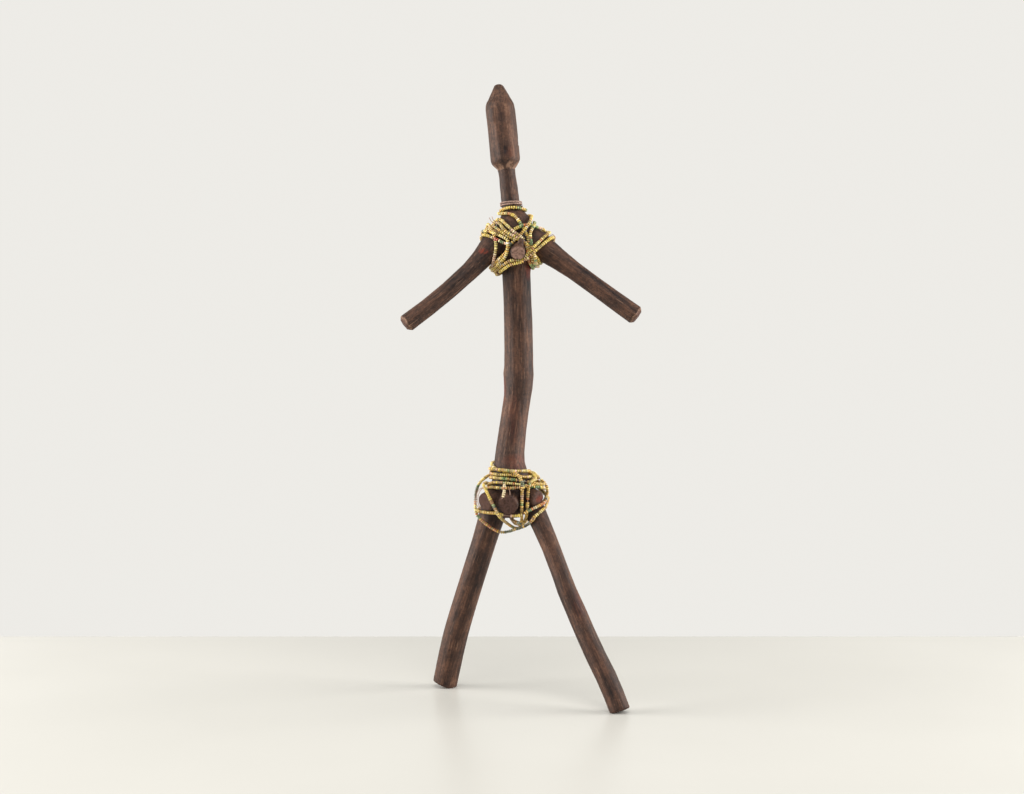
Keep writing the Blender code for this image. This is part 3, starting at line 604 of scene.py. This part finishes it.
# Turns of the strings as they were wound, each with its slack and the places that it passes
chestTurns = (
    (0, ((-7, 10, 388), (-11.5, 0, 387.8), (-8.5, -8, 388.6), (-4, -11, 389.8), (2, -11.5, 390.6),
         (8, -8.5, 390.2), (12, 0, 389), (0, 12, 388), (-12.5, 2, 386.6))),
    (0, ((-10.8, -7, 385.4), (-5.3, -12, 386.2), (-1.2, -13, 385), (1.8, -14, 382.8),
         (4.6, -14.5, 379.4), (7.6, -15.5, 375), (10.5, -16.5, 370.3), (12.6, -17, 366),
         (13, -17, 361), (14.5, -16, 355), (18.5, -13, 350), (23, -6, 347), (24, 4, 348),
         (16, 16, 354), (0, 18, 366), (-14, 14, 374), (-22, 5, 373))),
    (0, ((-23.5, -2, 372.3), (-20.1, -8, 372.8), (-16.5, -11.5, 372), (-12.5, -14, 370.2),
         (-8.3, -15.5, 369.3), (-4, -16.5, 368.6), (-0.5, -17, 369.6), (2.5, -16.5, 372),
         (6, -16, 374), (12, -14, 375.4), (19.9, -11, 375.6), (23.5, -8, 375.8), (27, -2, 373.5),
         (27, 8, 366), (14, 18, 352), (0, 17, 344), (-12, 10, 342))),
    (0, ((-15.5, -1, 342), (-14, -8, 344), (-11.5, -12, 346.7), (-8.8, -14, 349.5),
         (-5.8, -16, 352.2), (-3.1, -17.5, 354.9), (0, -18, 358.6), (2.8, -18, 362.2),
         (5.3, -17.5, 365.2), (6.8, -17, 367.8), (8.6, -16.5, 370.6), (10.8, -15.5, 373.3),
         (12.8, -14, 376.2), (14.9, -11.5, 379.6), (16.6, -6, 383), (14, 4, 385), (2, 14, 382),
         (-6, 16, 376), (8, 18, 368), (20, 10, 376))),
    (0, ((21, 0, 381.5), (20, -6, 381), (18.8, -9, 378.6), (17.2, -12, 374.4), (15.5, -14.5, 370.8),
         (13.8, -16, 367.6), (12.6, -17, 365), (12.9, -17, 362), (14.5, -16.5, 359), (17, -15, 354.5),
         (20, -11, 350.5), (24, -4, 347.5), (24, 6, 348), (10, 18, 348), (-8, 15, 356),
         (-20, 8, 366), (-21, 2, 373))),
    (0, ((-19, -4, 380), (-15.9, -9.5, 378.3), (-13.7, -12.5, 374.6), (-11.8, -14, 371.4),
         (-8.8, -15.5, 369), (-5.3, -16.5, 367.5), (-2.4, -17.5, 365.3), (0.8, -18.3, 363),
         (4.5, -19, 362.6), (8.5, -19, 361), (10.8, -17.5, 355), (12.6, -16, 348.5),
         (15, -12.5, 344.5), (18, -4, 342), (16, 10, 344), (0, 18, 352), (-12, 15, 366),
         (-17, 6, 381))),
    (0, ((-17, -3, 383), (-13.9, -9, 380.7), (-10.3, -12.5, 377), (-7.3, -14.5, 373.1),
         (-5.3, -15.5, 370.8), (-2.8, -16.5, 368.4), (-0.4, -17.5, 366.4), (2, -18.3, 364.6),
         (5.5, -19, 364), (9.2, -18.5, 361.5), (12.2, -17, 355.2), (14, -15, 349.6),
         (17, -11, 345.5), (20, -3, 343.5), (18, 10, 346), (4, 19, 346), (-10, 15, 358),
         (-16, 8, 376))),
    (0, ((-15.5, 0, 385), (-13.5, -7, 383.6), (-11.5, -10, 382), (-8.3, -12.5, 379.2),
         (-4.8, -14.5, 375.8), (-2.4, -16, 373.2), (0.1, -17, 370.6), (2.6, -18, 367.8),
         (5.4, -18.5, 365.4), (8.8, -18.5, 363.4), (12, -17.5, 358.5), (14.6, -16, 352.6),
         (17.6, -13.5, 349.8), (21, -8, 347), (23, 2, 347), (17, 14, 354), (6, 18, 366),
         (14, 14, 374), (26, 8, 372))),
    (0.7, ((30.5, 1, 370.9), (30, -5, 370.1), (28.5, -8, 368.3), (25.8, -11, 365.8),
           (23.3, -13.5, 363.5), (20.8, -15.5, 361.2), (18.4, -17.5, 359), (15.9, -19.5, 356.7),
           (13.2, -20.3, 353.9), (10.5, -18.5, 350.8), (7, -16.5, 349), (3, -16, 348.4),
           (-0.5, -16, 347.6), (-4, -15.5, 345.8), (-7.6, -13.5, 343.4), (-11, -9, 341),
           (-14, -2, 339.5), (-12, 10, 340), (4, 16, 344), (20, 15, 352), (33, 7, 362))),
    (0.7, ((34, 1, 367), (33.2, -6, 366.4), (30.2, -10, 364.3), (27, -12.5, 361.8),
           (24.3, -14.5, 359.6), (21.8, -16.5, 357.6), (19.4, -18.5, 355.6), (16.6, -20.5, 353.2),
           (13.8, -20.5, 350.4), (10.4, -18, 348), (6.5, -16.5, 346.6), (2.6, -16, 346),
           (-0.9, -15.5, 344.6), (-4.3, -14, 342.2), (-7.8, -11, 339.8), (-11.5, -5, 338),
           (-12, 4, 337.5), (0, 14, 341), (-10, 14, 346), (-18, 6, 344))),
    (0.5, ((-17, -1, 341), (-12.5, -10, 343), (-9.8, -13, 345.3), (-7.3, -15, 347.2),
           (-4.8, -17, 349.6), (-2.6, -18.3, 353), (-1.2, -19, 356.8), (-0.8, -19.3, 360),
           (-2.6, -19, 362.8), (-6, -17.5, 365.4), (-10.5, -15.5, 367.6), (-15.5, -12.5, 369.6),
           (-20, -8.5, 371), (-24, -1, 370.5), (-20, 9, 366), (-10, 15, 356), (-14, 13, 348),
           (-17, 6, 344))),
    (0.7, ((-20, 5, 374), (-17.5, -6, 375.5), (-14.2, -12.5, 369), (-12.9, -15, 363.5),
           (-12.5, -15.5, 360), (-12.4, -15.5, 356.5), (-13, -15, 353), (-14, -14, 349.5),
           (-15, -12, 346), (-17, -5, 342), (-15, 8, 342), (-14, 15, 352), (-22, 9, 366))),
    (0, ((-24.4, 0, 368.3), (-23.4, -5, 368), (-21.1, -8.5, 367.4), (-18.2, -11, 366.2),
         (-15.2, -13, 365), (-12.7, -14.5, 364.1), (-10.3, -16, 362.7), (-7.8, -17, 361.3),
         (-4.8, -18, 360.2), (-2.2, -18.8, 359.6))),
)
hipTurns = (
    (0, ((0, 15, 184), (-15, 6, 187), (-10.5, -12, 181), (4.3, -15, 181), (15, -9, 181), (17, 4, 180),
         (3, 17, 179))),
    (0, ((-15, 9, 180), (-20, -2, 179), (-10.8, -14, 178), (0, -17, 178), (9.3, -16.5, 177),
         (20, -7, 177), (21, 5, 176), (8, 17, 175), (-10, 16, 174))),
    (0, ((-21, 4, 175), (-12.9, -14, 175.5), (0, -18, 174.5), (14.4, -16, 172.5), (24, -6, 170),
         (24, 6, 168), (14, 18, 169), (-8, 20, 169))),
    (0, ((-21, 8, 169), (-22, -4, 171), (-8.8, -18, 172), (3, -19, 171), (14.4, -17, 169),
         (25.5, -9, 167.5), (25, 6, 166), (12, 21, 168), (-8, 22, 168), (-22, 10, 166))),
    (0, ((-21, -7, 166.5), (-8.8, -19, 168), (1, -21, 168), (10, -20, 168), (19, -14, 168),
         (26, -2, 170), (18, 14, 174), (2, 18, 178), (-14, 12, 181), (-18, -2, 182), (-6, -15, 181))),
    (0, ((3, -17, 180), (7, -19, 174), (7.6, -21, 166), (7.6, -22, 158), (7.6, -20, 148),
         (7, -12, 138.5), (4, 0, 134.5), (0, 12, 140), (1, 22, 152), (3, 22, 166), (12, 16, 176),
         (20, 4, 179))),
    (0, ((19, -11, 174), (14, -18, 171), (12.7, -20, 166), (12.4, -21.5, 159.5), (11.5, -21, 151.5),
         (10.7, -17, 144.5), (9.3, -10, 139.5), (5, 2, 136), (-2, 14, 144), (-5, 22, 156),
         (-2, 23, 168), (10, 20, 175), (22, 8, 174))),
    (0, ((19, 14, 168), (4, 23, 161), (-12, 20, 154), (-25, 13, 149.5), (-29, 2, 148))),
    (0, ((-26.5, -8, 148.5), (-13, -18, 148), (-3.8, -21, 145.5), (4, -20, 147), (14.4, -19, 150.5),
         (24.4, -15, 154.5), (28, -4, 159), (25, 10, 164), (14, 21, 169), (-8, 22, 169),
         (-24, 8, 170))),
    (0.7, ((-22.8, -14, 170.5), (-20.5, -20, 166), (-18, -24, 160.9), (-15, -25, 155.2),
           (-12.4, -23, 150.2), (-9, -19.5, 144.5), (-5, -15.5, 140.5), (-1, -11.5, 137.2),
           (5, 0, 134), (12, 10, 140), (22, 10, 150), (27, 2, 160), (25, -6, 170),
           (16, 6, 178), (0, 16, 178), (-18, 10, 177))),
    (0.7, ((-25, -1, 172), (-28.5, -7, 165), (-29, -10, 155.6), (-29, -10, 147), (-26, -9, 143),
           (-19, -7, 137), (-11, -7, 132), (-5, -8, 131.5), (2, -10, 134.5), (9, -14, 136.5),
           (15, -19, 141))),
    (0, ((20, -19, 147), (27, -9, 153), (27, 5, 158), (22, 16, 165), (2, 21, 170), (-8, 19, 174))),
)


def clearOfWood(point, tree, reach):
    surface, normal, _, distance = tree.find_nearest(point)
    away = point - surface
    if away.dot(normal) > 0:
        outward, short = away / distance, reach - distance
    else:
        outward, short = normal, reach + distance
    return (point + outward * short if short > 0 else point), outward


def pullStraight(line):
    line[1:-1] += easing * (0.5 * (line[:-2] + line[2:]) - line[1:-1])


def tighten(route, slack, tree, laid):
    radius = beads["radius"]
    reach, apart, finest = radius + gap, 2 * radius + gap, tightening[-1][0] * radius
    earlier = KDTree(len(laid))
    for index, point in enumerate(laid):
        earlier.insert(point, index)
    earlier.balance()
    places = smoothLine(route, finest)
    line = places
    for step, rounds, lift in tightening:
        spacing = step * radius
        line = evenly(line, spacing)
        goal = evenly(places, count=4 * len(line))
        for _ in range(rounds):
            pullStraight(line)
            for index in range(1, len(line) - 1):
                point, outward = clearOfWood(Vector(line[index]), tree, reach + lift * radius)
                near = goal[max(0, 4 * index - lookAlong) : 4 * index + lookAlong]
                slip = Vector(near[np.argmin(((near - point) ** 2).sum(axis=1))]) - point
                point += hold * (slip - outward * slip.dot(outward) * (1 - slack))
                if lift == 0.0:
                    for other, place, distance in earlier.find_range(point, apart):
                        if index * spacing + (len(laid) - place) * finest < 3 * radius:
                            continue
                        away = (point - other).normalized() + climb * outward
                        point += away.normalized() * (apart - distance) * push
                line[index] = clearOfWood(point, tree, reach)[0]
    for _ in range(10):
        pullStraight(line)
        for index in range(1, len(line) - 1):
            line[index] = clearOfWood(Vector(line[index]), tree, reach)[0]
    return line


def layString(turns, tree):
    laid = []
    finest = tightening[-1][0] * beads["radius"]
    for number, (slack, turn) in enumerate(turns):
        own = ([laid[-1]] if laid else []) + [at(point) for point in turn]
        ahead = [at(point) for point in turns[number + 1][1][:2]] if number + 1 < len(turns) else []
        share = len(smoothLine(own, finest)) / len(smoothLine(own + ahead, finest))
        line = tighten(own + ahead, slack, tree, laid)
        kept = line[: max(2, round(share * len(line)))]
        laid += [Vector(point) for point in (kept[1:] if laid else kept)]
    return laid


def woodTree(name):
    shape = bmesh.new()
    shape.from_mesh(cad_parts[name].data)
    bmesh.ops.remove_doubles(shape, verts=shape.verts, dist=1e-5)
    tree = BVHTree.FromBMesh(shape)
    shape.free()
    return tree


def oneBead():
    length, radius = beads["length"] / 2, beads["radius"]
    outline = ((0.0, beads["hole"]), (-0.97 * length, 0.50 * radius), (-0.80 * length, 0.84 * radius),
               (-0.34 * length, radius), (0.34 * length, radius), (0.80 * length, 0.84 * radius),
               (0.97 * length, 0.50 * radius))
    shape = bmesh.new()
    corners = [shape.verts.new((x, 0, r)) for x, r in outline]
    edges = [shape.edges.new(pair) for pair in zip(corners, corners[1:] + corners[:1])]
    bmesh.ops.spin(
        shape, geom=corners + edges, cent=(0, 0, 0), axis=(1, 0, 0), dvec=(0, 0, 0),
        angle=2 * math.pi, steps=beads["sides"], use_merge=True, use_duplicate=False,
    )
    bmesh.ops.remove_doubles(shape, verts=shape.verts, dist=1e-6)
    bmesh.ops.recalc_face_normals(shape, faces=shape.faces)
    mesh = bpy.data.meshes.new("bead")
    shape.to_mesh(mesh)
    shape.free()
    mesh.shade_smooth()
    return mesh


def manyBeads(count):  # that many copies of a bead in one mesh, all at one place
    item = bpy.data.objects.new("bead", oneBead())
    bpy.context.scene.collection.objects.link(item)
    row = item.modifiers.new("row", "ARRAY")
    row.fit_type = "FIXED_COUNT"
    row.count = count
    row.use_relative_offset = False
    row.use_constant_offset = False
    mesh = evaluated(item)
    bpy.data.objects.remove(item)
    return mesh


glassColours = {
    "lemon": linear(234, 206, 76),
    "golden": linear(216, 168, 54),
    "pale": linear(242, 224, 130),
    "olive": linear(170, 144, 56),
    "amber": linear(178, 118, 44),
    "cream": linear(242, 226, 184),
    "pink": linear(236, 192, 166),
    "orange": linear(220, 124, 46),
    "red": linear(192, 50, 32),
    "white": linear(240, 236, 224),
    "green": linear(60, 122, 66),
    "leaf": linear(132, 166, 84),
    "darkGreen": linear(32, 68, 48),
    "black": linear(32, 28, 26),
}

# Glass that comes by the run along a string, with how often
chestMix = (("lemon", 26), ("golden", 28), ("pale", 15), ("olive", 11), ("amber", 8), ("cream", 6),
            ("pink", 3), ("orange", 2), ("leaf", 2), ("green", 1))
hipMix = (("lemon", 23), ("golden", 33), ("pale", 11), ("olive", 10), ("amber", 10), ("cream", 4),
          ("pink", 4), ("orange", 4), ("leaf", 2), ("green", 1), ("darkGreen", 1))

# Places on the front where the glass is of another colour: x and z, how far it reaches, and the glass
chestPlaces = (
    ((7.1, 375.9), 2.6, ("green", "leaf")), ((2.0, 374.9), 1.2, ("red",)), ((9.9, 374.5), 1.8, ("orange",)),
    ((7.1, 365.4), 1.8, ("cream",)), ((16.8, 374.4), 3.4, ("green", "leaf", "pale")),
    ((15.3, 361), 2.2, ("green",)), ((-23.9, 371.8), 3.6, ("green", "darkGreen", "pale")),
    ((-12.6, 364.2), 1.7, ("red",)), ((-7.1, 362.3), 1.9, ("green", "darkGreen")),
    ((-3.9, 360.3), 1.0, ("white",)),
    ((-1.6, 359.5), 1.7, ("darkGreen",)), ((22.1, 351.2), 1.8, ("green",)),
    ((16.5, 343), 2.6, ("green", "leaf")), ((24.5, 347), 2.4, ("leaf", "green")),
    ((0.5, 368.5), 2.2, ("pink", "cream")), ((-9, 385.6), 2.0, ("pale", "olive")),
    ((-1, 385.2), 1.8, ("orange", "golden")), ((22.5, 375.2), 2.6, ("pink", "cream", "golden")),
    ((-12.8, 354.5), 3.6, ("pale", "cream", "olive")), ((-13, 348.5), 1.6, ("pink",)),
)
hipPlaces = (
    ((-6.3, 173.8), 2.6, ("green", "leaf")), ((0.8, 173.3), 1.7, ("green",)),
    ((8.3, 171.4), 2.2, ("green", "darkGreen")),
    ((-19.7, 179), 2.6, ("pink", "cream")), ((-28.4, 167), 3.6, ("darkGreen", "green", "black")),
    ((-28.6, 160.5), 3.6, ("darkGreen", "black")), ((-28.5, 150.5), 3.4, ("pale", "lemon")),
    ((-26.8, 143.7), 1.8, ("green",)), ((-20, 139), 4.0, ("orange", "golden")),
    ((-13.4, 134.3), 1.9, ("red", "orange")),
    ((-4.3, 132.9), 4.2, ("black", "darkGreen", "olive")), ((-15, 154.2), 2.0, ("leaf", "darkGreen")),
    ((14.2, 150), 1.7, ("green",)), ((17.4, 151.6), 1.6, ("cream",)),
    ((24.5, 154.4), 2.2, ("orange", "pink")),
    ((5, 137.5), 3.6, ("darkGreen", "black", "green")), ((3.6, 137.2), 0.9, ("white",)),
    ((10.7, 139.4), 1.1, ("white",)), ((13, 137.6), 3.0, ("darkGreen", "black")),
    ((26.8, 161), 4.0, ("black", "darkGreen", "olive")), ((7.8, 161), 1.8, ("pink",)),
    ((22, 176), 3.2, ("pale", "leaf")), ((-27, 158), 1.0, ("olive",)),
)

# Places on the front where the cotton is bare
bareHips = (((-3.9, 146.5), 2.4), ((-7.9, 179.4), 1.6), ((-0.8, 176.1), 1.6))
bareChest = (((28.5, 366.5), 1.2),)


def onFront(point, spot, radius):
    x, z = (point.x - drawnShift.x) * 1000, (point.z - drawnShift.z) * 1000
    return point.y < drawnShift.y + point.z * leanBack - 0.004 and (x - spot[0]) ** 2 + (z - spot[1]) ** 2 < radius**2


def chooseGlass(point, mix, places, run, dice):
    for spot, radius, choice in places:
        if onFront(point, spot, radius):
            return dice.choice(choice)
    if dice.random() < 0.5:
        return run
    return dice.choices([name for name, _ in mix], [often for _, often in mix])[0]


def threadBeads(line, mix, places, bare, dice):  # middle, way, size and colour of each bead on a line
    points = np.array([tuple(point) for point in line])
    along = np.concatenate(([0.0], np.cumsum(np.linalg.norm(np.diff(points, axis=0), axis=1))))
    place, run, left, laid = beads["pitch"], "lemon", 0, []
    while place < along[-1] - beads["pitch"]:
        point = Vector([np.interp(place, along, points[:, axis]) for axis in range(3)])
        ahead = Vector([np.interp(place + 0.0012, along, points[:, axis]) for axis in range(3)])
        behind = Vector([np.interp(place - 0.0012, along, points[:, axis]) for axis in range(3)])
        if left <= 0:
            run = dice.choices([name for name, _ in mix], [often for _, often in mix])[0]
            left = dice.randint(3, 14)
        left -= 1
        size = 1 + dice.uniform(-1, 1) * beads["unevenSize"]
        thick = 1 + dice.uniform(-1, 1) * beads["unevenPitch"]
        glass = chooseGlass(point, mix, places, run, dice)
        skipped = dice.random() < beads["gapShare"] or any(onFront(point, spot, reach) for spot, reach in bare)
        if not skipped:
            laid.append((point, (ahead - behind).normalized(), size, thick, glass))
        place += beads["pitch"] * thick
    return laid


def beadString(name, laid, material, dice):
    mesh = manyBeads(len(laid))
    each = len(mesh.vertices) // len(laid)
    shapes = coordinates(mesh).reshape(len(laid), each, 3)
    # painted shade: each bead is darker and warmer towards its two ends, where it meets the next bead
    rim = beads["rimShade"] * smoothStep(np.abs(shapes[0, :, 0]) / beads["length"] * 2, 0.3, 0.95)
    amber = 1 - rim[:, None] * np.array((0.75, 0.95, 1.15, 0.0))
    colours = np.zeros((len(laid), each, 4))
    for index, (point, way, size, thick, glass) in enumerate(laid):
        lean = Vector([dice.gauss(0, beads["tilt"]) for _ in range(3)])
        turn = Vector((1, 0, 0)).rotation_difference((way + lean * 0.6).normalized())
        spin = Matrix.Rotation(dice.uniform(0, math.pi), 3, "X")
        shaped = turn.to_matrix() @ spin @ Matrix.Diagonal((thick, size, size))
        shapes[index] = shapes[index] @ np.array(shaped).T + np.array(point)
        shade = dice.uniform(0.62, 1.12)
        tone = np.array([min(1.0, value * shade) for value in glassColours[glass][:3]] + [1.0])
        colours[index] = tone * amber
    mesh.vertices.foreach_set("co", shapes.astype(np.float32).ravel())
    mesh.update()
    setColumn(mesh, "glass", "FLOAT_COLOR", colours)
    return addPiece(name, mesh, material)


def cottonTube(line, radius, sides, plies=1.0):  # a ring drawn out along a line, ring after ring
    points = [Vector(point) for point in line]
    ways = [(points[min(i + 1, len(points) - 1)] - points[max(i - 1, 0)]).normalized() for i in range(len(points))]
    turn = Vector((0, 0, 1)).rotation_difference(ways[0])
    shape = bmesh.new()
    ring = bmesh.ops.create_circle(
        shape, cap_ends=True, radius=radius, segments=sides, matrix=Matrix.LocRotScale(points[0], turn, None)
    )
    edges = [edge for edge in shape.edges]
    for index in range(1, len(points)):
        step = ways[index - 1].rotation_difference(ways[index])
        grown = bmesh.ops.extrude_edge_only(shape, edges=edges)["geom"]
        corners = [item for item in grown if isinstance(item, bmesh.types.BMVert)]
        edges = [item for item in grown if isinstance(item, bmesh.types.BMEdge)]
        move = Matrix.Translation(points[index]) @ step.to_matrix().to_4x4() @ Matrix.Translation(-points[index - 1])
        for corner in corners:
            corner.co = move @ corner.co
    bmesh.ops.edgeloop_fill(shape, edges=edges)
    bmesh.ops.recalc_face_normals(shape, faces=shape.faces)
    return shape


def layAlongLine(points, line):  # distance along the line of points near it
    samples = np.array([tuple(point) for point in line])
    along = np.concatenate(([0.0], np.cumsum(np.linalg.norm(np.diff(samples, axis=0), axis=1))))
    tree = KDTree(len(samples))
    for index, sample in enumerate(samples):
        tree.insert(sample, index)
    tree.balance()
    return np.array([along[tree.find(point)[1]] for point in points])


def cottonPiece(name, lines, radius, sides, material):
    whole = bmesh.new()
    column = []
    for line in lines:
        shape = cottonTube(line, radius, sides)
        part = bpy.data.meshes.new("part")
        shape.to_mesh(part)
        shape.free()
        column.append(layAlongLine(coordinates(part), line))
        whole.from_mesh(part)
        bpy.data.meshes.remove(part)
    mesh = bpy.data.meshes.new(name)
    whole.to_mesh(mesh)
    whole.free()
    mesh.shade_smooth()
    setColumn(mesh, "along", "FLOAT", np.concatenate(column))
    return addPiece(name, mesh, material)


def glassMaterial():
    material, shader, wire = newMaterial("seedBeads")
    place = wire.node("ShaderNodeTexCoord", {}, {}, "Object")
    glass = attribute(wire, "glass", "Color")
    cloud = place.grain(900, 3.0, 0.6)
    dirt = place.grain(240, 4.0, 0.6).stretch(0.52, 0.70)
    colour = (cloud.stretch(0.35, 0.7) * 0.35).tint(glass, linear(250, 236, 190))
    colour = (dirt * 0.5).tint(colour, linear(96, 66, 34))
    pits = bump(wire, place.grain(2600, 3.0, 0.6), 0.15, 0.0001)
    feed(shader, {"Base Color": colour, "Roughness": cloud * 0.25 + dirt * 0.3 + 0.12, "Normal": pits})
    setConstants(shader, {"Specular IOR Level": 0.6, "IOR": 1.5, "Coat Weight": 0.3, "Coat Roughness": 0.08})
    return material


def cottonMaterial(name, light, dark, twist):
    material, shader, wire = newMaterial(name)
    place = wire.node("ShaderNodeTexCoord", {}, {}, "Object")
    along = attribute(wire, "along", "Fac")
    plies = (along * (2 * math.pi / twist)).maths("SINE", along * (2 * math.pi / twist))
    fuzz = place.grain(2200, 4.0, 0.65)
    soil = place.grain(260, 3.0, 0.6).stretch(0.4, 0.65)
    shade = (plies * 0.25 + 0.5) * 0.6 + fuzz * 0.4
    colour = shade.tint(dark, light)
    colour = (soil * 0.45).tint(colour, dark)
    feed(shader, {"Base Color": colour, "Normal": bump(wire, shade, 0.5, 0.0002)})
    setConstants(shader, {"Roughness": 0.85, "Specular IOR Level": 0.25})
    return material


plainWood = woodTree("wooden_figure")
glassMade = glassMaterial()
cottonMade = cottonMaterial("stringCotton", linear(226, 196, 176), linear(120, 84, 66), cotton["twist"])
dice = random.Random(beads["seed"])

# Ends and loops of bare cotton beside the strings
looseCotton = {
    "chest": (
        ((-13, -9.5, 378.2), (-15, -11.5, 379.8), (-15.9, -11.5, 382.4)),
        ((-14, -10, 377.2), (-16.4, -11.5, 378.6), (-18.1, -11.5, 381.4)),
        ((29.5, -9, 366.5), (32.5, -10.5, 368), (34.3, -10, 365.3), (32.6, -9, 362.5), (30, -9.5, 362)),
    ),
    "hip": (
        ((-22.5, -15, 168), (-26.2, -17.5, 166), (-28.3, -18, 160), (-28.1, -18, 155), (-25.5, -18, 151.5)),
        ((-21.5, -15, 168.5), (-25, -18, 165.5), (-26.8, -18.6, 160), (-26.6, -18.6, 155.5), (-24.5, -18, 151)),
        ((-2.2, -20.5, 168), (-1.6, -24.6, 164), (-1.8, -25.9, 160.5)),
    ),
}
hangingBeads = (((-6.2, -19, 172), (-6.0, -23.5, 167), (-6.8, -25.6, 162), (-8, -25.8, 159.5)),)

for label, turns, mix, places, bare in (
    ("chest", chestTurns, chestMix, chestPlaces, bareChest),
    ("hip", hipTurns, hipMix, hipPlaces, bareHips),
):
    line = layString(turns, plainWood)
    laid = threadBeads(line, mix, places, bare, dice)
    ends = [[Vector(point) for point in smoothLine([at(place) for place in route], 0.0008)]
            for route in looseCotton[label]]
    if label == "hip":
        for route in hangingBeads:
            hanging = [Vector(point) for point in smoothLine([at(place) for place in route], 0.0008)]
            laid += threadBeads(hanging, (("cream", 2), ("orange", 3), ("golden", 1)), (), (), dice)
            ends.append(hanging)
    beadPiece = beadString(label + "Beads", laid, glassMade, dice)
    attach(beadPiece, "root")
    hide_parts(label + "_beads")
    cottonLine = smoothLine(line, 0.0012)
    cottonPart = cottonPiece(label + "Cotton", [cottonLine] + ends, cotton["radius"], cotton["sides"], cottonMade)
    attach(cottonPart, "root")
    print(label, "strung:", len(laid), "beads")


# Thread round the neck

neckThread = {
    "middle": (-0.7, 0, 393.4),
    "turns": 2,
    "rise": 0.0017,
    "radius": 0.00065,
    "neck": 0.0070,
    "steps": 60,
}


def windNeck():
    middle, line = at(neckThread["middle"]), []
    for step in range(neckThread["turns"] * neckThread["steps"] + 1):
        turn = step / neckThread["steps"]
        angle = 2 * math.pi * turn
        height = (turn - neckThread["turns"] / 2) * neckThread["rise"]
        place = middle + Vector((math.cos(angle), math.sin(angle), 0)) * neckThread["neck"] + Vector((0, 0, height))
        line.append(clearOfWood(place, plainWood, neckThread["radius"] + gap)[0])
    return line


neckLook = cottonMaterial("neckCotton", linear(196, 166, 152), linear(92, 68, 60), 0.0020)
neckCotton = cottonPiece("neckCotton", [windNeck()], neckThread["radius"], 8, neckLook)
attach(neckCotton, "root")
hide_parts("neck_thread")
print("neck thread wound")


# Floor, light and backdrop

studio = {
    "floorBack": 0.288,  # the floor ends here behind the doll
    "floorSize": 3.0,
    "floorColour": linear(186, 185, 179),
    "backdrop": linear(237, 235, 230),
    "lights": (  # place, size, watts, colour
        ((-1.30, -0.05, 0.45), 0.9, 26.0, (1.0, 0.98, 0.95)),
        ((1.30, -0.05, 0.45), 0.9, 26.0, (1.0, 0.98, 0.95)),
        ((0.0, -0.9, 1.4), 1.0, 16.0, (1.0, 0.98, 0.95)),
    ),
    "aim": (0.0, 0.0, 0.25),
    "skyBehind": 0.80,
    "skyFront": 0.26,
}


def makeFloor():
    shape = bmesh.new()
    bmesh.ops.create_grid(shape, x_segments=1, y_segments=1, size=studio["floorSize"])
    bmesh.ops.translate(shape, vec=(0, studio["floorBack"] - studio["floorSize"], 0), verts=shape.verts)
    mesh = bpy.data.meshes.new("floor")
    shape.to_mesh(mesh)
    shape.free()
    material, shader, wire = newMaterial("paleFloor")
    place = wire.node("ShaderNodeTexCoord", {}, {}, "Object")
    soft = place.grain(3, 3.0, 0.5)
    feed(shader, {"Base Color": (soft * 0.25).tint(studio["floorColour"], studio["backdrop"])})
    setConstants(shader, {"Roughness": 0.32, "Specular IOR Level": 0.35})
    addPiece("floor", mesh, material)


def makeLights():
    for number, (place, size, watts, colour) in enumerate(studio["lights"]):
        data = bpy.data.lights.new("softbox" + str(number), "AREA")
        data.shape = "SQUARE"
        data.size = size
        data.energy = watts
        data.color = colour
        light = bpy.data.objects.new("softbox" + str(number), data)
        light.location = place
        light.rotation_euler = (Vector(studio["aim"]) - Vector(place)).to_track_quat("-Z", "Y").to_euler()
        bpy.context.scene.collection.objects.link(light)


def makeBackdrop():
    world = bpy.data.worlds.new("studio")
    bpy.context.scene.world = world
    world.use_nodes = True
    tree = world.node_tree
    wire = Wire(tree)
    seen = wire.node("ShaderNodeLightPath", {}, {}, "Is Camera Ray")
    way = wire.node("ShaderNodeTexCoord", {}, {}, "Generated")
    depth = way.node("ShaderNodeSeparateXYZ", {}, {"Vector": way}, "Y")
    sky = depth.stretch(-0.5, 0.6, studio["skyFront"], studio["skyBehind"])
    strength = seen * (1 - sky) + sky
    background = tree.nodes["Background"]
    background.inputs["Color"].default_value = studio["backdrop"]
    tree.links.new(strength.socket, background.inputs["Strength"])


makeFloor()
makeLights()
makeBackdrop()
print("stage set")
